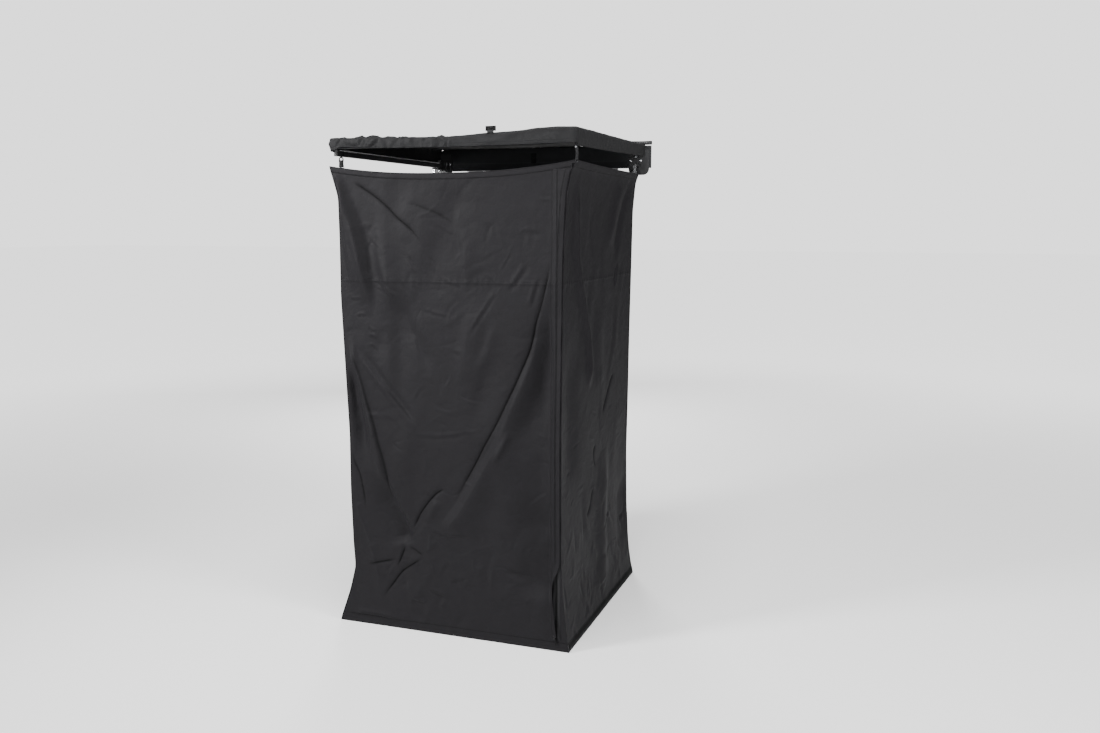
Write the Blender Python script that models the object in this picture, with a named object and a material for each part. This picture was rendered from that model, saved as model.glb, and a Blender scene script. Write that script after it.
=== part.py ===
# Fold-out shower awning for the side of a roof rack.
# Metres, +Z up. The origin is the middle of the back rail's rear face, +Y points to the vehicle,
# and -Y is the way the awning opens. The ground is RAIL_CENTRE_HEIGHT below the origin.

import math

import bmesh
import bpy
from mathutils import Matrix, Vector

# Clearances
GAP = 0.0003
RUN_GAP = 0.0003
BOLT_PLAY = 0.0004
# How far a cutting tool reaches past the piece it cuts
PAST = 0.010

# Back rail, an aluminium extrusion
RAIL_CENTRE_HEIGHT = 2.160
RAIL_LENGTH = 1.200
RAIL_TALL = 0.110
RAIL_DEEP = 0.025
RAIL_WALL = 0.003
RAIL_EDGE_RADIUS = 0.002
SLOT_SPACING = 0.070
SLOT_MOUTH = 0.0095
SLOT_INNER = 0.0176
SLOT_LIP = 0.0025
SLOT_DEEP = 0.0095
BEAD_RADIUS = 0.0040
BEAD_INSET = 0.0065
BEAD_DROP = 0.0075
BEAD_SLOT = 0.0036
END_CAP_THICK = 0.003
END_CAP_PLUG = 0.010
END_CAP_PLUG_RADIUS = 0.002

# Mounting brackets behind the rail
MOUNT_INSET = 0.220
MOUNT_WIDE = 0.060
MOUNT_THICK = 0.006
MOUNT_TALL = 0.100
MOUNT_FOOT = 0.075
MOUNT_INNER_RADIUS = 0.006
FOOT_SLOT_WIDE = 0.009
FOOT_SLOT_LONG = 0.026
FOOT_SLOT_SPREAD = 0.032

# Bolts
M8 = 0.008
M8_ACROSS = 0.013
M8_HEAD = 0.0053
M8_NUT = 0.0065
M8_FLANGE_RADIUS = 0.0085
M8_FLANGE_THICK = 0.0015
T_HEAD_RADIUS = 0.002
BUTTON_RADIUS = 0.0070
BUTTON_TALL = 0.0044
HEX_SOCKET = 0.0026
CORNER_HEAD_TALL = 0.003
CORNER_HEAD_RIM = 0.002

# Frame plan
LEFT_PIVOT_INSET = 0.063
RIGHT_PIVOT_INSET = 0.057
PIVOT_STANDOFF = 0.053
ARM_REACH = 1.040
LAP_LENGTH = 0.060

# Tubes, stacked in three levels so that the folded frame lies flat; z counts from the rail's middle
TUBE_WIDE = 0.018
TUBE_WALL = 0.0016
TUBE_EDGE_RADIUS = 0.003
TUBE_LEAST_RADIUS = 0.0006
LOW_ARM_Z = -0.040
LOW_ARM_TALL = 0.028
FLAT_TALL = 0.016
LEVEL_GAP = 0.002
FOLD_GAP = 0.004
PLUG_INSERT = 0.022
EYE_RADIUS = 0.010
EYE_NECK = 0.017

# Hinge brackets
PLATE_THICK = 0.006
PLATE_WIDE = 0.105
PLATE_TOP_MARGIN = 0.004
PLATE_DROP = 0.050
PLATE_LOW_RADIUS = 0.030
PLATE_TOP_RADIUS = 0.006
PLATE_OUTER = 0.055
EAR_THICK = 0.005
EAR_RADIUS = 0.013
EAR_SPACE = 0.002
BOSS_RADIUS = 0.009
LEFT_BLOCK = (-0.028, 0.032)
RIGHT_BLOCK = (-0.043, 0.017)
BLOCK_CLEAR = 0.005
# How far joined forms sink into each other
SINK = 0.001
BOLT_Z = -0.018
LEFT_BOLT_PLACES = (-0.043, 0.040)
RIGHT_BOLT_PLACES = (-0.038, 0.012)
SHELF_THICK = 0.005
SHELF_RADIUS = 0.010
BACK_HOOK_OUT = 0.008
BACK_HOOK_REACH = 0.052

# Right corner knuckle
LUG_RADIUS = 0.009
LUG_THICK = 0.0045
LUG_NECK = 0.0084
LUG_SUNK = 0.004
RIVET_RADIUS = 0.003
RIVET_HEAD_RADIUS = 0.0045
RIVET_HEAD_TALL = 0.0016
KNUCKLE_NECK = 0.010
KNUCKLE_CORNER_RADIUS = 0.012
STRAP_TAB_THICK = 0.004
STRAP_TAB_RADIUS = 0.004
STRAP_TAB_INNER = 0.016
STRAP_TAB_OUTER = 0.028

# Lock pin in the lap of the two half bars
PIN_RADIUS = 0.003
PIN_PLAY = 0.0004
PIN_TRAVEL = 0.008
PIN_WEB = 0.0014
TAB_WIDE = 0.0034
TAB_TALL = 0.004
TAB_PROUD = 0.007
BLOCK_COVER = 0.005

# Hangers
HOOK_DROP = 0.0457
HOOK_THICK = 0.004
HOOK_EYE_OUTER = 0.008
HOOK_EYE_INNER = 0.0045
HOOK_FOOT = 0.022
HOOK_WAIST = 0.009
BAND_THICK = 0.0012
BAND_LONG = 0.020
LEFT_HOOK_INSET = 0.040
STRAP_WIDE = 0.014
STRAP_THICK = 0.002
STRAP_OUTSET = 0.007
CORNER_TAB_THICK = 0.006
CORNER_TAB_SIDE = 0.034
TAB_DEPTH_FACTOR = 1.5
HOOK_TOE = 0.004
STUD_RADIUS = 0.0045
STUD_TALL = 0.002
STUD_RIM = 0.0008

# Roof and skirts
SHEET_THICK = 0.002
ROOF_LEFT_OVERHANG = 0.014
ROOF_RIGHT_OVERHANG = 0.035
ROOF_FRONT_OVERHANG = 0.032
ROOF_BACK_RISE = 0.0045
# Front edge above the top of the tubes, at the left, in the middle and at the right
ROOF_FRONT_RISES = (0.012, 0.004, 0.029)
# Lower edges of the skirts, as z: the front one from left to right, the others from front to back
SKIRT_FRONT_BOTTOM = (-0.002, -0.019, -0.020, -0.018, -0.012)
SKIRT_RIGHT_BOTTOM = (-0.024, -0.013, 0.002)
SKIRT_LEFT_BOTTOM = (-0.010, -0.004, 0.000)
SKIRT_BACK_CLEAR = 0.020

# Walls
WALL_THICK = 0.003
WALL_FRONT_OUTSET = 0.017
WALL_BACK_INSET = 0.027
WALL_BACK_FLARE = 0.030
WALL_FLARE_START = 0.86
WALL_FRONT_LEFT_RISE = 0.0027
WALL_FRONT_RIGHT_RISE = 0.0087
WALL_BACK_RISE = -0.0008
FRONT_SAG = 0.038
SIDE_SAG = 0.012
BACK_SAG = 0.026
# Corner lines of the walls: share of the wall's height from the top, and how far right of the pivot it lies
LEFT_CORNER_LINE = ((0.0, -0.025), (0.06, -0.008), (0.28, 0.018), (0.62, 0.038), (0.88, 0.048),
                    (1.0, -0.034))
FRONT_RIGHT_CORNER_LINE = ((0.0, 0.035), (0.06, 0.013), (0.24, -0.030), (0.60, -0.036), (0.85, -0.037),
                           (1.0, 0.005))
BACK_RIGHT_CORNER_LINE = ((0.0, 0.025), (0.06, 0.004), (0.24, -0.012), (0.60, -0.025), (0.85, -0.021),
                          (1.0, 0.011))
WALL_ROWS = (0.0, 0.05, 0.12, 0.24, 0.42, 0.62, 0.80, 0.90, 0.96, 1.0)
WALL_COLUMNS = 8

# Zip at the front right corner
ZIP_INSET = 0.056
ZIP_BOTTOM_HEIGHT = 0.050
ZIP_TOP_DROP = 0.153
ZIP_TAPE_WIDE = 0.024
ZIP_TAPE_THICK = 0.0008
ZIP_CHAIN_WIDE = 0.006
ZIP_CHAIN_PROUD = 0.0022
SLIDER_WIDE = 0.011
SLIDER_LONG = 0.016
SLIDER_DEEP = 0.003
PULL_LONG = 0.034
PULL_WIDE = 0.007
PULL_THICK = 0.0016
SLIDER_RADIUS = 0.003
PULL_RADIUS = 0.002
PULL_SUNK = 0.0008

# Rolled cover and straps
COVER_RADIUS = 0.012
COVER_OVERHANG = 0.004
COVER_STRAP_WIDE = 0.025
COVER_STRAP_THICK = 0.0015
COVER_STRAP_INSET = 0.180
CLOSING_STRAP_X = -0.020
CLOSING_STRAP_WIDE = 0.030
CLOSING_STRAP_THICK = 0.002
CLOSING_STRAP_TOP = 0.030
CLOSING_STRAP_BOTTOM = -0.023
ROOF_BUCKLE_X = 0.205
ROOF_BUCKLE_WIDE = 0.053
ROOF_BUCKLE_TALL = 0.025
ROOF_BUCKLE_THICK = 0.007
ROOF_BUCKLE_BAR = 0.005
ROOF_BUCKLE_RADIUS = 0.004
ROOF_BUCKLE_INSET = 0.004

# Places that follow from the sizes above
LEFT_PIVOT_X = LEFT_PIVOT_INSET - RAIL_LENGTH / 2
RIGHT_PIVOT_X = RAIL_LENGTH / 2 - RIGHT_PIVOT_INSET
PIVOT_Y = -(RAIL_DEEP + PIVOT_STANDOFF)
BAR_Y = PIVOT_Y - ARM_REACH
MIDDLE_X = (LEFT_PIVOT_X + RIGHT_PIVOT_X) / 2
HALF_TUBE = TUBE_WIDE / 2
LOW = (LOW_ARM_Z, LOW_ARM_Z + LOW_ARM_TALL)
MID = (LOW[1] + LEVEL_GAP, LOW[1] + LEVEL_GAP + FLAT_TALL)
HIGH = (MID[1] + LEVEL_GAP, MID[1] + LEVEL_GAP + FLAT_TALL)
GROUND_Z = -RAIL_CENTRE_HEIGHT
CORNER_OFFSET = (TUBE_WIDE + FOLD_GAP) / 2
KNUCKLE_X = RIGHT_PIVOT_X - CORNER_OFFSET
KNUCKLE_Y = BAR_Y + CORNER_OFFSET
PLATE_FRONT_Y = -(RAIL_DEEP + GAP + PLATE_THICK)
PLATE_TOP_Z = HIGH[1] + EAR_SPACE + EAR_THICK + PLATE_TOP_MARGIN
PLATE_BOTTOM_Z = LOW[0] - PLATE_DROP
HOOK_BOTTOM_Z = LOW[0] - HOOK_DROP
ROOF_LEFT_X = LEFT_PIVOT_X - ROOF_LEFT_OVERHANG
ROOF_RIGHT_X = RIGHT_PIVOT_X + ROOF_RIGHT_OVERHANG
ROOF_FRONT_Y = BAR_Y - ROOF_FRONT_OVERHANG
ROOF_BACK_Z = RAIL_TALL / 2 + ROOF_BACK_RISE
WALL_FRONT_Y = BAR_Y - WALL_FRONT_OUTSET
WALL_BACK_Y = PIVOT_Y - WALL_BACK_INSET
WALL_FRONT_LEFT_TOP = HOOK_BOTTOM_Z + WALL_FRONT_LEFT_RISE
WALL_FRONT_RIGHT_TOP = HOOK_BOTTOM_Z + WALL_FRONT_RIGHT_RISE
WALL_BACK_TOP = HOOK_BOTTOM_Z + WALL_BACK_RISE
ZIP_X = RIGHT_PIVOT_X - ZIP_INSET
ZIP_TOP_Z = WALL_FRONT_RIGHT_TOP - ZIP_TOP_DROP
ZIP_BOTTOM_Z = GROUND_Z + ZIP_BOTTOM_HEIGHT
MOUNT_X = RAIL_LENGTH / 2 - MOUNT_INSET
COVER_STRAP_X = RAIL_LENGTH / 2 - COVER_STRAP_INSET
ROUND = 24

CARRIER_PLACES = {}


# Materials
def material(name, colour, roughness, metallic=0.0):
    made = bpy.data.materials.new(name)
    made.use_nodes = True
    shader = made.node_tree.nodes["Principled BSDF"]
    shader.inputs["Base Color"].default_value = (*colour, 1.0)
    shader.inputs["Roughness"].default_value = roughness
    shader.inputs["Metallic"].default_value = metallic
    made.diffuse_color = (*colour, 1.0)
    return made


FINISHES = {
    "anodised": ((0.30, 0.31, 0.33), 0.35, 0.9),
    "tube_black": ((0.020, 0.020, 0.022), 0.35, 0.4),
    "bracket_black": ((0.022, 0.022, 0.024), 0.45, 0.2),
    "moulded_black": ((0.025, 0.025, 0.027), 0.50, 0.0),
    "zinc": ((0.62, 0.63, 0.64), 0.28, 1.0),
    "webbing": ((0.030, 0.030, 0.032), 0.85, 0.0),
    "roof_cloth": ((0.052, 0.052, 0.055), 0.80, 0.0),
    "wall_cloth": ((0.044, 0.042, 0.046), 0.75, 0.0),
    "cover_vinyl": ((0.030, 0.030, 0.031), 0.55, 0.0),
}


# Meshes and objects
def new_object(name, mesh_maker, finish):
    """Put a bmesh in the scene as a named object with its own material."""
    mesh = bpy.data.meshes.new(name)
    bmesh.ops.recalc_face_normals(mesh_maker, faces=mesh_maker.faces)
    mesh_maker.to_mesh(mesh)
    mesh_maker.free()
    mesh.shade_smooth()
    mesh.set_sharp_from_angle(angle=math.radians(35))
    mesh.materials.append(material(name + "_finish", *FINISHES[finish]))
    made = bpy.data.objects.new(name, mesh)
    bpy.context.collection.objects.link(made)
    return made


def boolean(target, tool, operation):
    """Join or cut with a hidden tool object, as a live modifier."""
    tool.hide_render = True
    tool.display_type = "WIRE"
    tool.hide_viewport = False
    step = target.modifiers.new(operation.lower(), "BOOLEAN")
    step.operation = operation
    step.solver = "EXACT"
    step.object = tool
    return target


def cut(target, *tools):
    for tool in tools:
        boolean(target, tool, "DIFFERENCE")
    return target


def join(target, *tools):
    for tool in tools:
        boolean(target, tool, "UNION")
    return target


def carrier(name, place, parent=None):
    """An empty on a joint's axis, which carries the pieces that move about it."""
    made = bpy.data.objects.new(name, None)
    CARRIER_PLACES[name] = Vector(place)
    made.location = Vector(place)
    if parent is not None:
        made.parent = parent
        made.location = Vector(place) - CARRIER_PLACES[parent.name]
    bpy.context.collection.objects.link(made)
    return made


def carry(empty, *pieces):
    for piece in pieces:
        piece.parent = empty
        piece.matrix_parent_inverse = Matrix.Translation(-CARRIER_PLACES[empty.name])


# Outlines, as lists of two coordinates
def arc(centre, radius, start, end, steps):
    """Points on an arc, angles in degrees."""
    points = []
    for index in range(steps + 1):
        angle = math.radians(start + (end - start) * index / steps)
        points.append((centre[0] + radius * math.cos(angle), centre[1] + radius * math.sin(angle)))
    return points


def circle(centre, radius, steps=ROUND):
    return arc(centre, radius, 0, 360 - 360 / steps, steps - 1)


def rectangle(low, high, radii=0.0, steps=4):
    """A rectangle with rounded corners: one radius, or four from lower left anticlockwise."""
    if not isinstance(radii, tuple):
        radii = (radii,) * 4
    corners = ((low[0], low[1], 180), (high[0], low[1], 270), (high[0], high[1], 0), (low[0], high[1], 90))
    points = []
    for (u, v, start), radius in zip(corners, radii):
        if radius <= 0:
            points.append((u, v))
            continue
        centre_u = u + radius if u == low[0] else u - radius
        centre_v = v + radius if v == low[1] else v - radius
        points += arc((centre_u, centre_v), radius, start, start + 90, steps)
    return points


def hull(*outlines):
    """The convex outline round all the given points."""
    points = sorted(set((round(u, 7), round(v, 7)) for outline in outlines for u, v in outline))

    def half(sequence):
        chain = []
        for point in sequence:
            while len(chain) > 1 and turn(chain[-2], chain[-1], point) <= 1e-12:
                chain.pop()
            chain.append(point)
        return chain[:-1]

    return half(points) + half(reversed(points))


def turn(first, second, third):
    """Twice the signed area of a triangle: positive where the path turns left."""
    ahead = (second[0] - first[0], second[1] - first[1])
    beyond = (third[0] - first[0], third[1] - first[1])
    return ahead[0] * beyond[1] - ahead[1] * beyond[0]


def hexagon(centre, across):
    return circle(centre, across / math.sqrt(3), 6)


# Solids from outlines
def place_point(axis, along, u, v):
    if axis == "X":
        return (along, u, v)
    if axis == "Y":
        return (u, along, v)
    return (u, v, along)


def prism(outline, axis, low, high):
    """Extrude an outline along an axis from low to high."""
    maker = bmesh.new()
    verts = [maker.verts.new(place_point(axis, low, u, v)) for u, v in outline]
    face = maker.faces.new(verts)
    sweep = bmesh.ops.extrude_face_region(maker, geom=[face])
    raised = [item for item in sweep["geom"] if isinstance(item, bmesh.types.BMVert)]
    bmesh.ops.translate(maker, verts=raised, vec=Vector(place_point(axis, high - low, 0, 0)))
    return maker


def ring_loft(stations, axis):
    """A ring skinned through outlines with as many points, from the last of them back to the first."""
    maker = bmesh.new()
    loops = []
    for outline, along in stations:
        loops.append([maker.verts.new(place_point(axis, along, u, v)) for u, v in outline])
    for first, second in zip(loops, loops[1:] + loops[:1]):
        for index in range(len(first)):
            after = (index + 1) % len(first)
            maker.faces.new((first[index], first[after], second[after], second[index]))
    return maker


def ring_prism(outer, inner, axis, low, high):
    """A hollow prism, open at both ends."""
    return ring_loft([(outer, low), (inner, low), (inner, high), (outer, high)], axis)


def box(low, high):
    return prism(rectangle(low[:2], high[:2]), "Z", low[2], high[2])


def lathe(profile, centre, axis="Z", steps=ROUND):
    """Turn a profile of (radius, height) points; a profile that starts off the axis is closed to a ring."""
    maker = bmesh.new()
    rings = []
    for radius, along in profile:
        if radius == 0:
            rings.append([maker.verts.new(place_point(axis, along, *centre))])
            continue
        around = circle(centre, radius, steps)
        rings.append([maker.verts.new(place_point(axis, along, u, v)) for u, v in around])
    pairs = list(zip(rings, rings[1:]))
    if profile[0][0] > 0:
        pairs.append((rings[-1], rings[0]))
    for first, second in pairs:
        for index in range(steps):
            after = (index + 1) % steps
            corners = [first[index % len(first)], first[after % len(first)]]
            corners += [second[after % len(second)], second[index % len(second)]]
            unique = list(dict.fromkeys(corners))
            maker.faces.new(unique)
    return maker


def sheet_solid(grid, thickness):
    """A closed sheet: a grid of points and the same grid moved by the thickness vector."""
    maker = bmesh.new()
    rows = len(grid)
    columns = len(grid[0])
    faces_of = []
    for shift in (Vector((0, 0, 0)), Vector(thickness)):
        faces_of.append([[maker.verts.new(Vector(point) + shift) for point in row] for row in grid])
    for layer in faces_of:
        for r in range(rows - 1):
            for c in range(columns - 1):
                maker.faces.new((layer[r][c], layer[r][c + 1], layer[r + 1][c + 1], layer[r + 1][c]))
    rim = [(0, c) for c in range(columns)] + [(r, columns - 1) for r in range(1, rows)]
    rim += [(rows - 1, c) for c in range(columns - 2, -1, -1)] + [(r, 0) for r in range(rows - 2, 0, -1)]
    front, back = faces_of
    for (r, c), (r2, c2) in zip(rim, rim[1:] + rim[:1]):
        maker.faces.new((front[r][c], front[r2][c2], back[r2][c2], back[r][c]))
    return maker


def tool(maker):
    """A hidden tool for a Boolean."""
    made = new_object("tool", maker, "moulded_black")
    made.hide_render = True
    made.display_type = "WIRE"
    return made


# Back rail
def t_slot(z):
    """The mouth and the inner part of a T-slot in the rail's rear face."""
    past = 2 * RAIL_DEEP
    half = RAIL_LENGTH / 2 + past
    mouth = box((-half, -SLOT_DEEP, z - SLOT_MOUTH / 2), (half, past, z + SLOT_MOUTH / 2))
    inner = box((-half, -SLOT_DEEP, z - SLOT_INNER / 2), (half, -SLOT_LIP, z + SLOT_INNER / 2))
    return tool(mouth), tool(inner)


def rail_chambers():
    """Hollows that run the rail's length: a deep one in the middle and one behind each slot."""
    half = RAIL_LENGTH / 2 + RAIL_DEEP
    slot_z = SLOT_SPACING / 2
    middle = slot_z - SLOT_INNER / 2 - RAIL_WALL
    front = -RAIL_DEEP + RAIL_WALL
    behind_slot = -SLOT_DEEP - RAIL_WALL
    low_end = -RAIL_TALL / 2 + RAIL_WALL
    high_end = RAIL_TALL / 2 - BEAD_DROP - BEAD_RADIUS - RAIL_WALL
    yield tool(box((-half, front, -middle), (half, -RAIL_WALL, middle)))
    yield tool(box((-half, front, low_end), (half, behind_slot, -middle - RAIL_WALL)))
    yield tool(box((-half, front, middle + RAIL_WALL), (half, behind_slot, high_end)))


def bead_channel():
    half = RAIL_LENGTH / 2 + RAIL_DEEP
    centre = bead_centre()
    bore = prism(circle(centre, BEAD_RADIUS + BOLT_PLAY, 16), "X", -half, half)
    mouth_low = (-half, centre[0] - BEAD_SLOT / 2, centre[1])
    mouth = box(mouth_low, (half, centre[0] + BEAD_SLOT / 2, RAIL_TALL))
    return tool(bore), tool(mouth)


def bead_centre():
    return (-RAIL_DEEP + BEAD_INSET, RAIL_TALL / 2 - BEAD_DROP)


def build_rail():
    outline = rectangle((-RAIL_DEEP, -RAIL_TALL / 2), (0.0, RAIL_TALL / 2), RAIL_EDGE_RADIUS, 3)
    rail = new_object("back_rail", prism(outline, "X", -RAIL_LENGTH / 2, RAIL_LENGTH / 2), "anodised")
    for z in (-SLOT_SPACING / 2, SLOT_SPACING / 2):
        cut(rail, *t_slot(z))
    cut(rail, *rail_chambers())
    cut(rail, *bead_channel())
    for side in (-1, 1):
        for x, z in bracket_bolt_places(side):
            hole = lathe([(0, -2 * RAIL_DEEP), (M8 / 2 + BOLT_PLAY, -2 * RAIL_DEEP),
                          (M8 / 2 + BOLT_PLAY, -RAIL_DEEP + 2 * RAIL_WALL), (0, -RAIL_DEEP + 2 * RAIL_WALL)],
                         (x, z), "Y", 16)
            cut(rail, tool(hole))
    return rail


def build_end_cap(side, name):
    """A moulded cap with a plug that sits in the rail's middle chamber."""
    face = side * (RAIL_LENGTH / 2 + GAP)
    outside = face + side * END_CAP_THICK
    outline = rectangle((-RAIL_DEEP, -RAIL_TALL / 2), (0.0, RAIL_TALL / 2), 2 * RAIL_EDGE_RADIUS)
    cap = new_object(name, prism(outline, "X", min(face, outside), max(face, outside)), "moulded_black")
    plug_half = SLOT_SPACING / 2 - SLOT_INNER / 2 - RAIL_WALL - GAP
    low = (-RAIL_DEEP + RAIL_WALL + GAP, -plug_half)
    high = (-RAIL_WALL - GAP, plug_half)
    inner = side * (RAIL_LENGTH / 2 - END_CAP_PLUG)
    middle = face + side * END_CAP_THICK / 2
    plug = prism(rectangle(low, high, END_CAP_PLUG_RADIUS), "X", min(inner, middle), max(inner, middle))
    return join(cap, tool(plug))


# Mounting brackets and their T-bolts
def mount_places():
    return [(side * MOUNT_X, side * SLOT_SPACING / 2 * up) for side in (-1, 1) for up in (-side, side)]


def build_mount_bracket(side, name):
    """An angle bracket: one leg on the rail's rear face, one foot that lies on the rack."""
    centre = side * MOUNT_X
    back = GAP
    bottom = -MOUNT_TALL / 2 - MOUNT_THICK
    inner = (back + MOUNT_THICK + MOUNT_INNER_RADIUS, bottom + MOUNT_THICK + MOUNT_INNER_RADIUS)
    outline = [(back, bottom), (back + MOUNT_FOOT, bottom), (back + MOUNT_FOOT, bottom + MOUNT_THICK)]
    outline += arc(inner, MOUNT_INNER_RADIUS, 270, 180, 4)
    outline += [(back + MOUNT_THICK, MOUNT_TALL / 2), (back, MOUNT_TALL / 2)]
    low, high = centre - MOUNT_WIDE / 2, centre + MOUNT_WIDE / 2
    bracket = new_object(name, prism(outline, "X", low, high), "bracket_black")
    for z in (-SLOT_SPACING / 2, SLOT_SPACING / 2):
        hole = prism(circle((centre, z), M8 / 2 + BOLT_PLAY, 16), "Y", -MOUNT_THICK, 4 * MOUNT_THICK)
        cut(bracket, tool(hole))
    for x in foot_slot_centres(centre):
        reach = FOOT_SLOT_LONG / 2 - FOOT_SLOT_WIDE / 2
        y = foot_slot_y()
        ends = [circle((x, y + shift), FOOT_SLOT_WIDE / 2, 16) for shift in (-reach, reach)]
        cut(bracket, tool(prism(hull(*ends), "Z", bottom - MOUNT_THICK, bottom + 2 * MOUNT_THICK)))
    return bracket


def foot_slot_centres(centre):
    return (centre - FOOT_SLOT_SPREAD / 2, centre + FOOT_SLOT_SPREAD / 2)


def foot_slot_y():
    return GAP + MOUNT_THICK + (MOUNT_FOOT - MOUNT_THICK) / 2


def build_mount_hardware():
    """T-bolts in the rail's slots, each with a flange nut behind the bracket."""
    for number, (x, z) in enumerate(mount_places(), 1):
        head_back = -SLOT_LIP - GAP
        half_long, half_wide = M8_ACROSS * 0.75, SLOT_INNER / 2 - GAP
        head = rectangle((x - half_long, z - half_wide), (x + half_long, z + half_wide), T_HEAD_RADIUS)
        seat = MOUNT_THICK + 2 * GAP
        nut_back = seat + M8_NUT + M8_FLANGE_THICK
        bolt = new_object(f"mount_bolt_{number}", prism(head, "Y", -SLOT_DEEP + RUN_GAP, head_back), "zinc")
        join(bolt, tool(prism(circle((x, z), M8 / 2, 16), "Y", head_back - SLOT_LIP / 2, nut_back + M8 / 4)))
        new_object(f"mount_nut_{number}", flange_nut((x, z), seat, nut_back, "Y"), "zinc")


def nut_outlines(centre):
    """Outline of a hexagon nut and of its hole, with as many points."""
    outer = []
    corners = hexagon(centre, M8_ACROSS)
    for first, second in zip(corners, corners[1:] + corners[:1]):
        for step in range(3):
            outer.append((between(first[0], second[0], step / 3), between(first[1], second[1], step / 3)))
    return outer, circle(centre, M8 / 2 + GAP, len(outer))


def plain_nut(centre, low, high, axis):
    return ring_prism(*nut_outlines(centre), axis, low, high)


def flange_nut(centre, low, high, axis):
    """A hexagon nut on a round flange; the flange is at the low end."""
    outer, hole = nut_outlines(centre)
    flange = circle(centre, M8_FLANGE_RADIUS, len(outer))
    step = low + M8_FLANGE_THICK
    stations = [(hole, low), (flange, low), (flange, step), (outer, step), (outer, high), (hole, high)]
    return ring_loft(stations, axis)


# Hinge brackets at the rail's ends
def pivot_x(side):
    return LEFT_PIVOT_X if side < 0 else RIGHT_PIVOT_X


def arm_levels(side):
    return LOW if side < 0 else HIGH


def plate_span(side):
    outer = pivot_x(side) + side * PLATE_OUTER
    inner = outer - side * PLATE_WIDE
    return min(outer, inner), max(outer, inner)


def block_span(side):
    """The block behind the arm's root, between the two bracket bolts."""
    low, high = LEFT_BLOCK if side < 0 else RIGHT_BLOCK
    return pivot_x(side) + low, pivot_x(side) + high


def bracket_bolt_places(side):
    """Where the two bolts of each bracket go through its plate into the rail."""
    places = LEFT_BOLT_PLACES if side < 0 else RIGHT_BOLT_PLACES
    return [(pivot_x(side) + place, BOLT_Z) for place in places]


def back_hook_place(side):
    return (pivot_x(side) + side * BACK_HOOK_OUT, PIVOT_Y - BACK_HOOK_REACH)


def ear_levels(side):
    """Lower ear and upper ear, from the arm's level and the space for its bosses."""
    low, high = arm_levels(side)
    return (low - EAR_SPACE - EAR_THICK, low - EAR_SPACE, high + EAR_SPACE, high + EAR_SPACE + EAR_THICK)


def build_hinge_bracket(side, name):
    """Cast bracket: a plate on the rail, a block with two ears for the arm, and a shelf for the back hook."""
    low, high = plate_span(side)
    plate_outline = rectangle((low, PLATE_BOTTOM_Z), (high, PLATE_TOP_Z),
                              (PLATE_LOW_RADIUS, PLATE_LOW_RADIUS, PLATE_TOP_RADIUS, PLATE_TOP_RADIUS), 6)
    back = -(RAIL_DEEP + GAP)
    bracket = new_object(name, prism(plate_outline, "Y", PLATE_FRONT_Y, back), "bracket_black")
    x = pivot_x(side)
    pivot = (x, PIVOT_Y)
    block_low, block_high = block_span(side)
    block_front = PIVOT_Y + EAR_RADIUS + BLOCK_CLEAR
    root_y = PLATE_FRONT_Y + PLATE_THICK / 2
    bottom, lower_top, upper_bottom, top = ear_levels(side)
    join(bracket, tool(prism(rectangle((block_low, block_front), (block_high, root_y)), "Z", bottom, top)))
    neck = rectangle((x - EAR_RADIUS, block_front), (x + EAR_RADIUS, PLATE_FRONT_Y - SINK))
    join(bracket, tool(prism(hull(neck, circle(pivot, EAR_RADIUS)), "Z", bottom, top)))
    hook = back_hook_place(side)
    shelf_top = ear_levels(-1)[1]
    shelf_back = rectangle((x - EAR_RADIUS + SINK, block_front), (x + EAR_RADIUS - SINK, root_y))
    shelf = prism(hull(shelf_back, circle(hook, SHELF_RADIUS)), "Z", shelf_top - SHELF_THICK, shelf_top)
    join(bracket, tool(shelf))
    mouth_low = (x - PLATE_WIDE, PIVOT_Y - 4 * EAR_RADIUS, lower_top)
    mouth = box(mouth_low, (x + PLATE_WIDE, block_front, upper_bottom))
    cut(bracket, tool(mouth))
    bore = M8 / 2 + BOLT_PLAY
    cut(bracket, tool(prism(circle(pivot, bore), "Z", bottom - EAR_THICK, top + EAR_THICK)))
    for bolt_x, bolt_z in bracket_bolt_places(side):
        hole = prism(circle((bolt_x, bolt_z), bore, 16), "Y", PLATE_FRONT_Y - PAST, RAIL_DEEP)
        cut(bracket, tool(hole))
    return bracket


def button_bolt(centre):
    """Button head bolt with a round-bottomed socket, from the head in front to the tip in the rail."""
    front = PLATE_FRONT_Y - GAP
    tip = -RAIL_DEEP + RAIL_WALL + GAP
    crown = []
    for angle in (30, 50, 70, 90):
        turned = math.radians(angle)
        crown.append((BUTTON_RADIUS * math.sin(turned), front - BUTTON_TALL * math.cos(turned)))
    socket_bottom = front - BUTTON_TALL * 0.35
    profile = [(0, socket_bottom), (HEX_SOCKET, socket_bottom), (HEX_SOCKET, crown[0][1])]
    profile += crown + [(M8 / 2, front), (M8 / 2, tip), (0, tip)]
    return lathe(profile, centre, "Y", 16)


def build_bracket_bolts():
    for side, name in ((-1, "left_bracket_bolt"), (1, "right_bracket_bolt")):
        for number, place in enumerate(bracket_bolt_places(side), 1):
            new_object(f"{name}_{number}", button_bolt(place), "zinc")


def build_pivot_hardware():
    """The vertical pivot bolts, head up, with their nuts."""
    for side, name in ((-1, "left"), (1, "right")):
        centre = (pivot_x(side), PIVOT_Y)
        bottom, _, _, top = ear_levels(side)
        nut_top = bottom - GAP
        shank = prism(circle(centre, M8 / 2), "Z", nut_top - M8_NUT - M8 / 4, top + M8_HEAD / 2)
        bolt = new_object(name + "_pivot_bolt", shank, "zinc")
        join(bolt, tool(prism(hexagon(centre, M8_ACROSS), "Z", top + GAP, top + GAP + M8_HEAD)))
        new_object(name + "_pivot_nut", plain_nut(centre, nut_top - M8_NUT, nut_top, "Z"), "zinc")


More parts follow.
